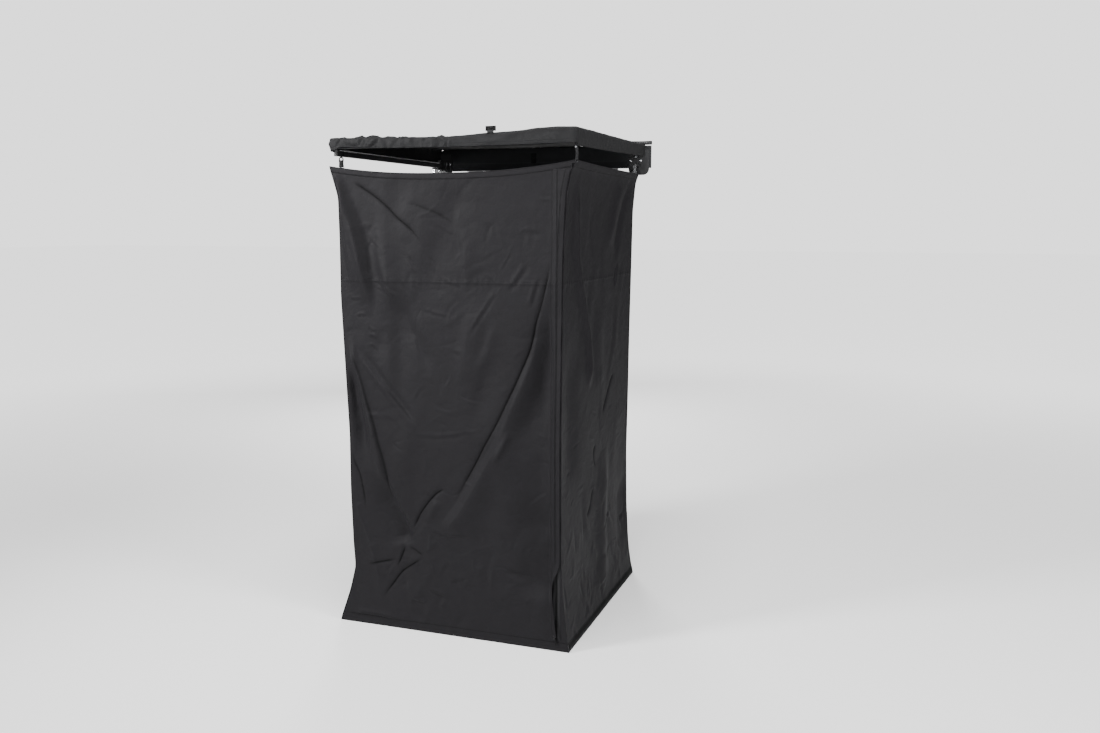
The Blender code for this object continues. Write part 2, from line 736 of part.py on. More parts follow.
# Tubes, plugs and eyes
def tube_section(across, levels, inset=0.0):
    """Rounded outline of a tube's section: across is its centre on the horizontal axis."""
    radius = max(TUBE_EDGE_RADIUS - inset, TUBE_LEAST_RADIUS)
    half = HALF_TUBE - inset
    return rectangle((across - half, levels[0] + inset), (across + half, levels[1] - inset), radius, 3)


def build_tube(name, axis, across, levels, low, high):
    outer = tube_section(across, levels)
    inner = tube_section(across, levels, TUBE_WALL)
    return new_object(name, ring_prism(outer, inner, axis, low, high), "tube_black")


def spigot(axis, across, levels, low, high):
    """The part of a plug that sits inside its tube."""
    return tool(prism(tube_section(across, levels, TUBE_WALL + GAP), axis, low, high))


def build_eye_plug(name, centre, levels, direction, bosses=(0.0, 0.0)):
    """A moulded end with an upright eye and a spigot; direction is the way to its tube, (x, y).

    The bosses are thrust faces that stand below and above the eye.
    """
    reach = EYE_NECK
    x, y = centre
    corners = []
    for across in (-HALF_TUBE, HALF_TUBE):
        corner_x_place = x + direction[0] * reach + direction[1] * across
        corner_y_place = y + direction[1] * reach + direction[0] * across
        corners.append((corner_x_place, corner_y_place))
    outline = hull(circle(centre, EYE_RADIUS), corners)
    plug = new_object(name, prism(outline, "Z", *levels), "moulded_black")
    if any(bosses):
        boss = prism(circle(centre, BOSS_RADIUS), "Z", levels[0] - bosses[0], levels[1] + bosses[1])
        join(plug, tool(boss))
    if direction[0]:
        ends = sorted((x + direction[0] * reach * 0.8, x + direction[0] * (reach + PLUG_INSERT)))
        join(plug, spigot("X", y, levels, *ends))
    else:
        ends = sorted((y + direction[1] * reach * 0.8, y + direction[1] * (reach + PLUG_INSERT)))
        join(plug, spigot("Y", x, levels, *ends))
    return plug


def bored(plug, centre, radius, levels):
    return cut(plug, tool(prism(circle(centre, radius), "Z", levels[0] - PAST, levels[1] + PAST)))


def build_left_arm():
    """The lower arm: tube, root eye, tip eye, and the bolt that carries the left half bar on top of it."""
    pivot = (LEFT_PIVOT_X, PIVOT_Y)
    tip = (LEFT_PIVOT_X, BAR_Y)
    neck = EYE_NECK + GAP
    tube = build_tube("left_arm_tube", "Y", LEFT_PIVOT_X, LOW, BAR_Y + neck, PIVOT_Y - neck)
    bore = M8 / 2 + RUN_GAP
    thrust = EAR_SPACE - RUN_GAP
    root = build_eye_plug("left_arm_root_plug", pivot, LOW, (0, -1), (thrust, thrust))
    bored(root, pivot, bore, LOW)
    end = build_eye_plug("left_arm_tip_plug", tip, LOW, (0, 1))
    bored(end, tip, bore, LOW)
    nut_room = M8_ACROSS / math.sqrt(3) + GAP
    cut(end, tool(prism(circle(tip, nut_room), "Z", LOW[0] - PAST, LOW[0] + M8_NUT + 3 * GAP)))
    bolt = new_object("left_corner_bolt", corner_bolt(tip), "zinc")
    nut = plain_nut(tip, LOW[0] + GAP, LOW[0] + GAP + M8_NUT, "Z")
    nut = new_object("left_corner_nut", nut, "zinc")
    return [tube, root, end, bolt, nut] + build_left_hanger()


def corner_bolt(centre):
    """A flat-headed bolt, sunk in the half bar's eye above and ending inside the arm's eye below."""
    radius = M8 / 2 + CORNER_HEAD_RIM
    low, top = LOW[0] + 2 * GAP, MID[1] - GAP
    under_head = top - CORNER_HEAD_TALL
    profile = [(0, low), (M8 / 2, low), (M8 / 2, under_head), (radius, under_head), (radius, top), (0, top)]
    return lathe(profile, centre)


def build_left_bar():
    """The left half bar lies one level above its arm and folds back over it."""
    tip = (LEFT_PIVOT_X, BAR_Y)
    latch_end = MIDDLE_X - LAP_LENGTH / 2 - BLOCK_COVER
    tube = build_tube("left_bar_tube", "X", BAR_Y, MID, LEFT_PIVOT_X + EYE_NECK + GAP, latch_end - GAP)
    thrust = LEVEL_GAP - RUN_GAP
    root = build_eye_plug("left_bar_root_plug", tip, MID, (1, 0), (thrust, 0.0))
    bored(root, tip, M8 / 2 + RUN_GAP, MID)
    head_outline = circle(tip, M8 / 2 + CORNER_HEAD_RIM + GAP)
    cut(root, tool(prism(head_outline, "Z", MID[1] - CORNER_HEAD_TALL - 2 * GAP, MID[1] + PAST)))
    block_outline = tube_section(BAR_Y, MID)
    block_maker = prism(block_outline, "X", latch_end, MIDDLE_X + LAP_LENGTH / 2)
    block = new_object("left_bar_end_block", block_maker, "moulded_black")
    join(block, spigot("X", BAR_Y, MID, latch_end - PLUG_INSERT, latch_end + 2 * SINK))
    bored(block, (MIDDLE_X, BAR_Y), PIN_RADIUS + PIN_PLAY, MID)
    return [tube, root, block]


# Right arm, its corner knuckle and the right half bar
def lug_levels():
    """The gap between the knuckle's two lugs, and the middle lug that fills it."""
    low = HIGH[0] + LUG_THICK
    high = HIGH[1] - LUG_THICK
    return low, high


def build_knuckle():
    """Corner of the right arm: two lugs round the rivet, an elbow outside them and a tab for the strap."""
    centre = (KNUCKLE_X, KNUCKLE_Y)
    half_in = CORNER_OFFSET - HALF_TUBE
    near, far = half_in, CORNER_OFFSET + HALF_TUBE
    elbow = rectangle((KNUCKLE_X + near, KNUCKLE_Y - far), (KNUCKLE_X + far, KNUCKLE_Y + KNUCKLE_NECK),
                      (0, KNUCKLE_CORNER_RADIUS, 0, 0), 6)
    body = prism(hull(elbow, circle(centre, LUG_RADIUS)), "Z", *HIGH)
    knuckle = new_object("right_arm_knuckle", body, "moulded_black")
    neck = (KNUCKLE_Y + KNUCKLE_NECK * 0.8, KNUCKLE_Y + KNUCKLE_NECK + PLUG_INSERT)
    join(knuckle, spigot("Y", RIGHT_PIVOT_X, HIGH, *neck))
    tab_low = (RIGHT_PIVOT_X + HALF_TUBE - SINK, strap_y() - STRAP_WIDE / 2)
    tab_high = (RIGHT_PIVOT_X + STRAP_TAB_OUTER, strap_y() + STRAP_WIDE / 2)
    tab_outline = rectangle(tab_low, tab_high, (0, STRAP_TAB_RADIUS, STRAP_TAB_RADIUS, 0))
    join(knuckle, tool(prism(tab_outline, "Z", HIGH[0], HIGH[0] + STRAP_TAB_THICK)))
    low, high = lug_levels()
    slot = prism(circle(centre, LUG_RADIUS + RUN_GAP + GAP), "Z", low, high)
    sweep = box((KNUCKLE_X - 2 * far, KNUCKLE_Y - 2 * far, low), (KNUCKLE_X, KNUCKLE_Y + 2 * far, high))
    cut(knuckle, tool(slot), tool(sweep))
    bored(knuckle, centre, RIVET_RADIUS + RUN_GAP, HIGH)
    room = RIVET_HEAD_RADIUS + GAP
    depth = RIVET_HEAD_TALL + 2 * GAP
    cut(knuckle, tool(prism(circle(centre, room), "Z", HIGH[0] - PAST, HIGH[0] + depth)))
    cut(knuckle, tool(prism(circle(centre, room), "Z", HIGH[1] - depth, HIGH[1] + PAST)))
    return knuckle


def corner_rivet():
    """A solid rivet with a flat head sunk in each lug."""
    low, high = HIGH[0] + GAP, HIGH[1] - GAP
    profile = [(0, low), (RIVET_HEAD_RADIUS, low), (RIVET_HEAD_RADIUS, low + RIVET_HEAD_TALL),
               (RIVET_RADIUS, low + RIVET_HEAD_TALL), (RIVET_RADIUS, high - RIVET_HEAD_TALL),
               (RIVET_HEAD_RADIUS, high - RIVET_HEAD_TALL), (RIVET_HEAD_RADIUS, high), (0, high)]
    return lathe(profile, (KNUCKLE_X, KNUCKLE_Y))


def build_right_arm():
    pivot = (RIGHT_PIVOT_X, PIVOT_Y)
    tube_end = KNUCKLE_Y + KNUCKLE_NECK + GAP
    tube = build_tube("right_arm_tube", "Y", RIGHT_PIVOT_X, HIGH, tube_end, PIVOT_Y - EYE_NECK - GAP)
    thrust = EAR_SPACE - RUN_GAP
    root = build_eye_plug("right_arm_root_plug", pivot, HIGH, (0, -1), (thrust, thrust))
    bored(root, pivot, M8 / 2 + RUN_GAP, HIGH)
    rivet = new_object("right_corner_rivet", corner_rivet(), "zinc")
    return [tube, root, build_knuckle(), rivet] + build_right_hanger()


def build_bar_knuckle():
    """End of the right half bar: a middle lug between the arm's lugs, a full-height neck and a spigot."""
    centre = (KNUCKLE_X, KNUCKLE_Y)
    near, far = CORNER_OFFSET - HALF_TUBE, CORNER_OFFSET + HALF_TUBE
    neck_start = KNUCKLE_X - KNUCKLE_NECK
    neck_end = neck_start - EYE_NECK
    neck = rectangle((neck_end, KNUCKLE_Y - far), (neck_start, KNUCKLE_Y - near))
    low, high = lug_levels()
    knuckle = new_object("right_bar_knuckle", prism(neck, "Z", *HIGH), "moulded_black")
    lug_root = rectangle((neck_start - LUG_SUNK, KNUCKLE_Y - LUG_NECK),
                         (KNUCKLE_X - LUG_RADIUS / 4, KNUCKLE_Y - near))
    for outline in (circle(centre, LUG_RADIUS), lug_root):
        join(knuckle, tool(prism(outline, "Z", low + RUN_GAP, high - RUN_GAP)))
    join(knuckle, spigot("X", BAR_Y, HIGH, neck_end - PLUG_INSERT, neck_end + LUG_SUNK))
    return bored(knuckle, centre, RIVET_RADIUS + RUN_GAP, HIGH)


def build_right_bar():
    """The right half bar, with a moulded end that holds the lock pin in a slotted well."""
    knuckle = build_bar_knuckle()
    latch_end = MIDDLE_X + LAP_LENGTH / 2 + BLOCK_COVER
    neck_end = KNUCKLE_X - KNUCKLE_NECK - EYE_NECK
    tube = build_tube("right_bar_tube", "X", BAR_Y, HIGH, latch_end + GAP, neck_end - GAP)
    outline = tube_section(BAR_Y, HIGH)
    block_maker = prism(outline, "X", MIDDLE_X - LAP_LENGTH / 2, latch_end)
    block = new_object("right_bar_end_block", block_maker, "moulded_black")
    join(block, spigot("X", BAR_Y, HIGH, latch_end - 2 * SINK, latch_end + PLUG_INSERT))
    bored(block, (MIDDLE_X, BAR_Y), PIN_RADIUS + PIN_PLAY, HIGH)
    low, high = tab_levels()
    slot = box((MIDDLE_X - TAB_WIDE / 2 - PIN_PLAY, BAR_Y - TUBE_WIDE, low - PIN_TRAVEL - PIN_PLAY),
               (MIDDLE_X + TAB_WIDE / 2 + PIN_PLAY, BAR_Y, high + PIN_PLAY))
    cut(block, tool(slot))
    return [knuckle, tube, block]


def tab_levels():
    """The pin's thumb tab with the pin drawn: its travel ends just above the bar's underside."""
    low = HIGH[0] + PIN_WEB + PIN_TRAVEL + PIN_PLAY
    return low, low + TAB_TALL


def build_lock_pin():
    """Upright pin in the lap, drawn, with a thumb tab that reaches out through the slot in front."""
    centre = (MIDDLE_X, BAR_Y)
    bottom = HIGH[0] + PIN_PLAY
    top = HIGH[1] - PIN_PLAY
    chamfer = PIN_RADIUS / 4
    profile = [(0, bottom), (PIN_RADIUS - chamfer, bottom), (PIN_RADIUS, bottom + chamfer), (PIN_RADIUS, top),
               (0, top)]
    pin = new_object("lock_pin", lathe(profile, centre, "Z", 16), "zinc")
    low, high = tab_levels()
    tab_low = (MIDDLE_X - TAB_WIDE / 2, BAR_Y - HALF_TUBE - TAB_PROUD, low)
    return join(pin, tool(box(tab_low, (MIDDLE_X + TAB_WIDE / 2, BAR_Y, high))))


# Hangers that hold the walls' corners
def hook_outline(across, top, bottom):
    """A flat hook: a round eye above, a waist, and a spread foot that holds the wall's corner tab."""
    eye = (across, top - HOOK_EYE_OUTER)
    waist = (eye[1] + bottom) / 2
    left = [(across - HOOK_WAIST / 2, waist), (across - HOOK_FOOT / 2, bottom + HOOK_TOE)]
    right = [(across + HOOK_FOOT / 2, bottom + HOOK_TOE), (across + HOOK_WAIST / 2, waist)]
    ring = arc(eye, HOOK_EYE_OUTER, -50, 230, 14)
    base = [(across - HOOK_FOOT / 2, bottom), (across + HOOK_FOOT / 2, bottom)]
    return ring + left + base + right, eye


def build_hook(name, place, top):
    """A moulded hook below its carrier."""
    x, y = place
    outline, eye = hook_outline(x, top, HOOK_BOTTOM_Z)
    low, high = y - HOOK_THICK / 2, y + HOOK_THICK / 2
    hook = new_object(name, prism(outline, "Y", low, high), "moulded_black")
    return cut(hook, tool(prism(circle(eye, HOOK_EYE_INNER, 16), "Y", low - PAST, high + PAST)))


def build_left_hanger():
    """A webbing band round the left arm, and the hook below it."""
    y = BAR_Y + LEFT_HOOK_INSET
    inner = rectangle((LEFT_PIVOT_X - HALF_TUBE - GAP, LOW[0] - GAP),
                      (LEFT_PIVOT_X + HALF_TUBE + GAP, LOW[1] + GAP), TUBE_EDGE_RADIUS, 3)
    grown = GAP + BAND_THICK
    outer = rectangle((LEFT_PIVOT_X - HALF_TUBE - grown, LOW[0] - grown),
                      (LEFT_PIVOT_X + HALF_TUBE + grown, LOW[1] + grown), TUBE_EDGE_RADIUS + BAND_THICK, 3)
    ring = ring_prism(outer, inner, "Y", y - BAND_LONG / 2, y + BAND_LONG / 2)
    band = new_object("front_left_band", ring, "webbing")
    hook = build_hook("front_left_hook", (LEFT_PIVOT_X, y), LOW[0] - grown - GAP)
    return [band, hook]


def strap_y():
    return BAR_Y - STRAP_OUTSET


def build_right_hanger():
    """The strap at the front right corner hangs from the knuckle's tab by a rivet."""
    low_x, high_x = RIGHT_PIVOT_X + STRAP_TAB_INNER, RIGHT_PIVOT_X + STRAP_TAB_OUTER
    y = strap_y()
    top = HIGH[0] - GAP
    strap = box((low_x, y - STRAP_THICK / 2, HOOK_BOTTOM_Z), (high_x, y + STRAP_THICK / 2, top))
    strap = new_object("front_right_strap", strap, "webbing")
    centre = ((low_x + high_x) / 2, (HOOK_BOTTOM_Z + top) / 2 + STRAP_WIDE)
    face = y - STRAP_THICK / 2 - GAP
    tip = face - STUD_TALL
    rim = face - STUD_RIM
    profile = [(0, face), (STUD_RADIUS, face), (STUD_RADIUS, rim), (STUD_RADIUS / 2, tip), (0, tip)]
    stud = lathe(profile, centre, "Y", 16)
    return [strap, new_object("front_right_stud", stud, "zinc")]


def build_back_hooks():
    top = ear_levels(-1)[1] - SHELF_THICK - GAP
    for side, name in ((-1, "back_left_hook"), (1, "back_right_hook")):
        build_hook(name, back_hook_place(side), top)


# Roof and skirts
def between(first, second, share):
    return first + (second - first) * share


def along(points, share):
    """Value at a share of the way along evenly spaced values."""
    position = share * (len(points) - 1)
    index = min(int(position), len(points) - 2)
    return between(points[index], points[index + 1], position - index)


def roof_z(x, y):
    """Height of the roof sheet's top: a front edge that dips at the middle, and a level back edge."""
    share_x = (x - ROOF_LEFT_X) / (ROOF_RIGHT_X - ROOF_LEFT_X)
    front = HIGH[1] + along(ROOF_FRONT_RISES, share_x)
    share_y = min(max((y - roof_back_y()) / (ROOF_FRONT_Y - roof_back_y()), 0.0), 1.0)
    return between(ROOF_BACK_Z, front, share_y)


def roof_back_y():
    """The sheet's back edge lies over the bead strip that stands up out of the rail."""
    return bead_centre()[0] + SHEET_THICK / 2


def build_roof_sheet():
    """The roof panel, with the strip and the bead sewn to its back edge that slide into the rail."""
    columns, rows = 8, 6
    grid = []
    for r in range(rows + 1):
        y = between(roof_back_y(), ROOF_FRONT_Y, r / rows)
        row = []
        for c in range(columns + 1):
            x = between(ROOF_LEFT_X, ROOF_RIGHT_X, c / columns)
            row.append((x, y, roof_z(x, y)))
        grid.append(row)
    roof = new_object("roof_sheet", sheet_solid(grid, (0, 0, -SHEET_THICK)), "roof_cloth")
    y, z = bead_centre()
    low_x, high_x = ROOF_LEFT_X + SHEET_THICK, ROOF_RIGHT_X - SHEET_THICK
    strip_top = ROOF_BACK_Z - SHEET_THICK / 2
    half = SHEET_THICK * 0.4
    strip = box((low_x, y - half, z), (high_x, y + half, strip_top))
    bead = prism(circle((y, z), BEAD_RADIUS, 16), "X", low_x, high_x)
    return join(roof, tool(strip), tool(bead))


def skirt_grid(start, end, bottoms, steps):
    """Points of a hanging skirt from its top edge under the sheet to its lower edge."""
    grid = []
    for index in range(steps + 1):
        share = index / steps
        x, y = between(start[0], end[0], share), between(start[1], end[1], share)
        top = roof_z(x, y) - SHEET_THICK - GAP
        grid.append([(x, y, top), (x, y, along(bottoms, share))])
    return grid


def build_skirts():
    front_inner = ROOF_FRONT_Y + SHEET_THICK + GAP
    back_left = PIVOT_Y - SKIRT_BACK_CLEAR
    back_right = PLATE_FRONT_Y - BUTTON_TALL - SKIRT_BACK_CLEAR / 2
    front = skirt_grid((ROOF_LEFT_X, ROOF_FRONT_Y), (ROOF_RIGHT_X, ROOF_FRONT_Y), SKIRT_FRONT_BOTTOM, 8)
    new_object("front_skirt", sheet_solid(front, (0, SHEET_THICK, 0)), "roof_cloth")
    left = skirt_grid((ROOF_LEFT_X, front_inner), (ROOF_LEFT_X, back_left), SKIRT_LEFT_BOTTOM, 4)
    new_object("left_skirt", sheet_solid(left, (SHEET_THICK, 0, 0)), "roof_cloth")
    right = skirt_grid((ROOF_RIGHT_X, front_inner), (ROOF_RIGHT_X, back_right), SKIRT_RIGHT_BOTTOM, 4)
    new_object("right_skirt", sheet_solid(right, (-SHEET_THICK, 0, 0)), "roof_cloth")


# Walls
def corner_x(line, share):
    """x of a corner line at a share of the wall's height, smooth between its points."""
    for (first, x_first), (second, x_second) in zip(line, line[1:]):
        if share <= second:
            local = (share - first) / (second - first)
            return between(x_first, x_second, local * local * (3 - 2 * local))
    return line[-1][1]


def wall_corner_x(x_side, y_side, share):
    """x of a wall's corner at a share of its height."""
    if x_side < 0:
        return LEFT_PIVOT_X + corner_x(LEFT_CORNER_LINE, share)
    return RIGHT_PIVOT_X + corner_x(FRONT_RIGHT_CORNER_LINE if y_side < 0 else BACK_RIGHT_CORNER_LINE, share)


def meshed_corner_x(x_side, y_side, share):
    """x of the corner as the wall has it, straight between two rows of its points."""
    for first, second in zip(WALL_ROWS, WALL_ROWS[1:]):
        if share <= second:
            ends = (wall_corner_x(x_side, y_side, first), wall_corner_x(x_side, y_side, second))
            return between(*ends, (share - first) / (second - first))
    return wall_corner_x(x_side, y_side, 1.0)


def back_y(share):
    """The back wall's outer face flares towards the vehicle over its last stretch."""
    local = max(share - WALL_FLARE_START, 0.0) / (1 - WALL_FLARE_START)
    return WALL_BACK_Y + WALL_BACK_FLARE * local * local


def hem_z(first, last, sag, share):
    """Top hem between two corner heights, sagging like a hung cloth."""
    return between(first, last, share) - 4 * sag * share * (1 - share)


def wall_grid(place, first_top, last_top, sag):
    """Rows of points down a wall; place(across, down) gives x and y."""
    grid = []
    for down in WALL_ROWS:
        row = []
        for index in range(WALL_COLUMNS + 1):
            across = index / WALL_COLUMNS
            x, y = place(across, down)
            top = hem_z(first_top, last_top, sag, across)
            row.append((x, y, between(top, GROUND_Z, down)))
        grid.append(row)
    return grid


def build_walls():
    front_inner = WALL_FRONT_Y + WALL_THICK + GAP
    seam = WALL_THICK + GAP

    def front(across, down):
        return between(wall_corner_x(-1, -1, down), wall_corner_x(1, -1, down), across), WALL_FRONT_Y

    def back(across, down):
        return between(wall_corner_x(-1, 1, down), wall_corner_x(1, 1, down), across), back_y(down)

    def side_wall(x_side, across, down):
        x = between(wall_corner_x(x_side, -1, down), wall_corner_x(x_side, 1, down), across)
        return x, between(front_inner, back_y(down) - seam, across)

    def left(across, down):
        return side_wall(-1, across, down)

    def right(across, down):
        return side_wall(1, across, down)

    walls = (
        ("front_wall", front, WALL_FRONT_LEFT_TOP, WALL_FRONT_RIGHT_TOP, FRONT_SAG, (0, WALL_THICK, 0)),
        ("back_wall", back, WALL_BACK_TOP, WALL_BACK_TOP, BACK_SAG, (0, -WALL_THICK, 0)),
        ("left_wall", left, WALL_FRONT_LEFT_TOP, WALL_BACK_TOP, SIDE_SAG, (WALL_THICK, 0, 0)),
        ("right_wall", right, WALL_FRONT_RIGHT_TOP, WALL_BACK_TOP, SIDE_SAG, (-WALL_THICK, 0, 0)),
    )
    for name, place, first_top, last_top, sag, thickness in walls:
        grid = wall_grid(place, first_top, last_top, sag)
        wall = new_object(name, sheet_solid(grid, thickness), "wall_cloth")
        if name == "front_wall":
            join(wall, corner_tab(-1, -1), corner_tab(1, -1))
        if name == "back_wall":
            join(wall, corner_tab(-1, 1), corner_tab(1, 1))


def hanger_place(x_side, y_side):
    """Plan place of the hanger's foot at each top corner."""
    if y_side > 0:
        return back_hook_place(x_side)
    if x_side < 0:
        return (LEFT_PIVOT_X, BAR_Y + LEFT_HOOK_INSET)
    return (RIGHT_PIVOT_X + (STRAP_TAB_INNER + STRAP_TAB_OUTER) / 2, strap_y())


def corner_tab(x_side, y_side):
    """A webbing tab sewn inside a wall's top corner, just below the hanger's foot."""
    wall_y = WALL_FRONT_Y + WALL_THICK / 2 if y_side < 0 else WALL_BACK_Y - WALL_THICK / 2
    tab_share = TAB_DEPTH_FACTOR * WALL_FRONT_RIGHT_RISE / (WALL_FRONT_RIGHT_TOP - GROUND_Z)
    side_x = meshed_corner_x(x_side, y_side, tab_share) - x_side * (WALL_THICK + 2 * GAP)
    far_corner = (side_x - x_side * CORNER_TAB_SIDE, wall_y - y_side * CORNER_TAB_THICK)
    strip = rectangle(*sorted_box((side_x, wall_y), far_corner))
    foot_x, foot_y = hanger_place(x_side, y_side)
    half_x, half_y = HOOK_FOOT / 2, HOOK_THICK
    if x_side > 0 and y_side < 0:
        half_x = (STRAP_TAB_OUTER - STRAP_TAB_INNER) / 2 - GAP
    foot = rectangle((foot_x - half_x, foot_y - half_y), (foot_x + half_x, foot_y + half_y))
    top = HOOK_BOTTOM_Z - GAP
    return tool(prism(hull(strip, foot), "Z", top - CORNER_TAB_THICK, top))


def sorted_box(first, second):
    """Lower left and upper right corner of the rectangle between two corners."""
    low = (min(first[0], second[0]), min(first[1], second[1]))
    high = (max(first[0], second[0]), max(first[1], second[1]))
    return low, high


# Zip
def build_zip():
    """Tape and chain up the front wall, and the slider with its pull at the lower end."""
    front = WALL_FRONT_Y - GAP
    half_tape, half_chain = ZIP_TAPE_WIDE / 2, ZIP_CHAIN_WIDE / 2
    tape_face, chain_face = front - ZIP_TAPE_THICK, front - ZIP_CHAIN_PROUD
    half_section = [(half_tape, front), (half_tape, tape_face)]
    half_section += [(half_chain, tape_face), (half_chain, chain_face)]
    section = [(ZIP_X + across, y) for across, y in half_section]
    section += [(ZIP_X - across, y) for across, y in reversed(half_section)]
    new_object("zip_chain", prism(section, "Z", ZIP_BOTTOM_Z, ZIP_TOP_Z), "moulded_black")
    back = front - ZIP_CHAIN_PROUD - GAP
    low = ZIP_BOTTOM_Z
    half = SLIDER_WIDE / 2
    body = rectangle((ZIP_X - half, low), (ZIP_X + half, low + SLIDER_LONG), SLIDER_RADIUS)
    slider = new_object("zip_slider", prism(body, "Y", back - SLIDER_DEEP, back), "zinc")
    pull_top = low + SLIDER_LONG * 0.7
    half = PULL_WIDE / 2
    pull = rectangle((ZIP_X - half, pull_top - PULL_LONG), (ZIP_X + half, pull_top), PULL_RADIUS)
    face = back - SLIDER_DEEP
    join(slider, tool(prism(pull, "Y", face - PULL_THICK, face + PULL_SUNK)))
    return slider


# Rolled cover, straps and buckle
def cover_centre():
    y = bead_centre()[0] + SHEET_THICK + BEAD_SLOT / 2 + COVER_RADIUS
    return (y, RAIL_TALL / 2 + GAP + COVER_STRAP_THICK + GAP + COVER_RADIUS)


def build_cover():
    """The travel cover rolled up on top of the rail, with two straps round the roll."""
    half = RAIL_LENGTH / 2 + COVER_OVERHANG
    roll = prism(circle(cover_centre(), COVER_RADIUS, 20), "X", -half, half)
    new_object("travel_cover", roll, "cover_vinyl")
    for side, name in ((-1, "left_cover_strap"), (1, "right_cover_strap")):
        x = side * COVER_STRAP_X
        inner = circle(cover_centre(), COVER_RADIUS + GAP, 20)
        outer = circle(cover_centre(), COVER_RADIUS + GAP + COVER_STRAP_THICK, 20)
        strap = ring_prism(outer, inner, "X", x - COVER_STRAP_WIDE / 2, x + COVER_STRAP_WIDE / 2)
        new_object(name, strap, "webbing")


def build_closing_strap():
    front = -RAIL_DEEP - GAP
    half = CLOSING_STRAP_WIDE / 2
    strap = box((CLOSING_STRAP_X - half, front - CLOSING_STRAP_THICK, CLOSING_STRAP_BOTTOM),
                (CLOSING_STRAP_X + half, front, CLOSING_STRAP_TOP))
    return new_object("closing_strap", strap, "webbing")


def build_roof_buckle():
    """A ladder buckle that stands on the roof's front edge, with two slots for its strap."""
    low_x, high_x = ROOF_BUCKLE_X - ROOF_BUCKLE_WIDE / 2, ROOF_BUCKLE_X + ROOF_BUCKLE_WIDE / 2
    y = ROOF_FRONT_Y + ROOF_BUCKLE_INSET
    seat = roof_z(high_x, y) + GAP
    outline = rectangle((low_x, seat), (high_x, seat + ROOF_BUCKLE_TALL), ROOF_BUCKLE_RADIUS)
    buckle = new_object("roof_buckle", prism(outline, "Y", y, y + ROOF_BUCKLE_THICK), "moulded_black")
    slot_tall = (ROOF_BUCKLE_TALL - 3 * ROOF_BUCKLE_BAR) / 2
    for index in range(2):
        low = seat + ROOF_BUCKLE_BAR + index * (slot_tall + ROOF_BUCKLE_BAR)
        cut(buckle, tool(box((low_x + ROOF_BUCKLE_BAR, y - PAST, low),
                             (high_x - ROOF_BUCKLE_BAR, y + ROOF_BUCKLE_THICK + PAST, low + slot_tall))))
    return buckle


# Assembly
def clear_scene():
    for old in list(bpy.data.objects):
        bpy.data.objects.remove(old)


def build_frame():
    left_arm = carrier("left_arm_axis", (LEFT_PIVOT_X, PIVOT_Y, LOW[0]))
    left_bar = carrier("left_bar_axis", (LEFT_PIVOT_X, BAR_Y, MID[0]), left_arm)
    right_arm = carrier("right_arm_axis", (RIGHT_PIVOT_X, PIVOT_Y, HIGH[0]))
    right_bar = carrier("right_bar_axis", (KNUCKLE_X, KNUCKLE_Y, HIGH[0]), right_arm)
    pin = carrier("lock_pin_axis", (MIDDLE_X, BAR_Y, HIGH[0]), right_bar)
    carry(left_arm, *build_left_arm())
    carry(left_bar, *build_left_bar())
    carry(right_arm, *build_right_arm())
    carry(right_bar, *build_right_bar())
    carry(pin, build_lock_pin())


def main():
    clear_scene()
    build_rail()
    build_end_cap(-1, "left_end_cap")
    build_end_cap(1, "right_end_cap")
    build_mount_bracket(-1, "left_mount_bracket")
    build_mount_bracket(1, "right_mount_bracket")
    build_mount_hardware()
    build_hinge_bracket(-1, "left_hinge_bracket")
    build_hinge_bracket(1, "right_hinge_bracket")
    build_bracket_bolts()
    build_pivot_hardware()
    build_frame()
    build_back_hooks()
    build_roof_sheet()
    build_skirts()
    build_walls()
    slider_axis = carrier("zip_slider_axis", (ZIP_X, WALL_FRONT_Y, ZIP_BOTTOM_Z))
    carry(slider_axis, build_zip())
    build_cover()
    build_closing_strap()
    build_roof_buckle()


main()
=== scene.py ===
# %% [markdown]
# # A fold-out shower awning, dressed in Blender
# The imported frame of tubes, brackets and fasteners is already at its real size and place.
# This lesson adds what gives the awning its look: four hanging cloth walls, a roof cover with a
# skirt, webbing, a zip and the finishes of the metal. Loading the frame first means that every
# new piece can be placed from the frame's own numbers.

# %% Load the frame
import math
import random

import bmesh
import bpy
import numpy as np
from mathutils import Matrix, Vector


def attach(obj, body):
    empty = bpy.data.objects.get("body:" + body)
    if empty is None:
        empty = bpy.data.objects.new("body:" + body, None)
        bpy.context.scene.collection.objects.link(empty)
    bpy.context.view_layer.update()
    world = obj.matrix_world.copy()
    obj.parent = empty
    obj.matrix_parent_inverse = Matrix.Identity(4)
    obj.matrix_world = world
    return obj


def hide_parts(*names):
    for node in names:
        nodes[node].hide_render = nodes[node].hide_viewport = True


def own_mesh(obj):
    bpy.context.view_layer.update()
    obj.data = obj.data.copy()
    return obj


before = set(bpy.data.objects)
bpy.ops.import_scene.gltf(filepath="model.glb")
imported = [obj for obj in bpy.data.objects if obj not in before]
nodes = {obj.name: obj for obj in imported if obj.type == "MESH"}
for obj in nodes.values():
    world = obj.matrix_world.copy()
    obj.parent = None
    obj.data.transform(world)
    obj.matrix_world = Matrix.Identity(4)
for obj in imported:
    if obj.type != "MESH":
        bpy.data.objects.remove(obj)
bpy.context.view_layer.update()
print("frame loaded:", len(nodes), "nodes")

# %% [markdown]
# ## Camera
# The camera stands where the picture was taken: a little to the right of the awning, five metres
# away and lower than the roof. The focal length comes from fitting straight edges, so that the
# roof and the ground line converge as they should.

# %% Camera
GROUND = -2.160
CAMERA_PLACE = (1.806, -4.997, -0.326)
CAMERA_DOWN = 8.246
CAMERA_TURN = 19.243
CAMERA_LENS = 32.566

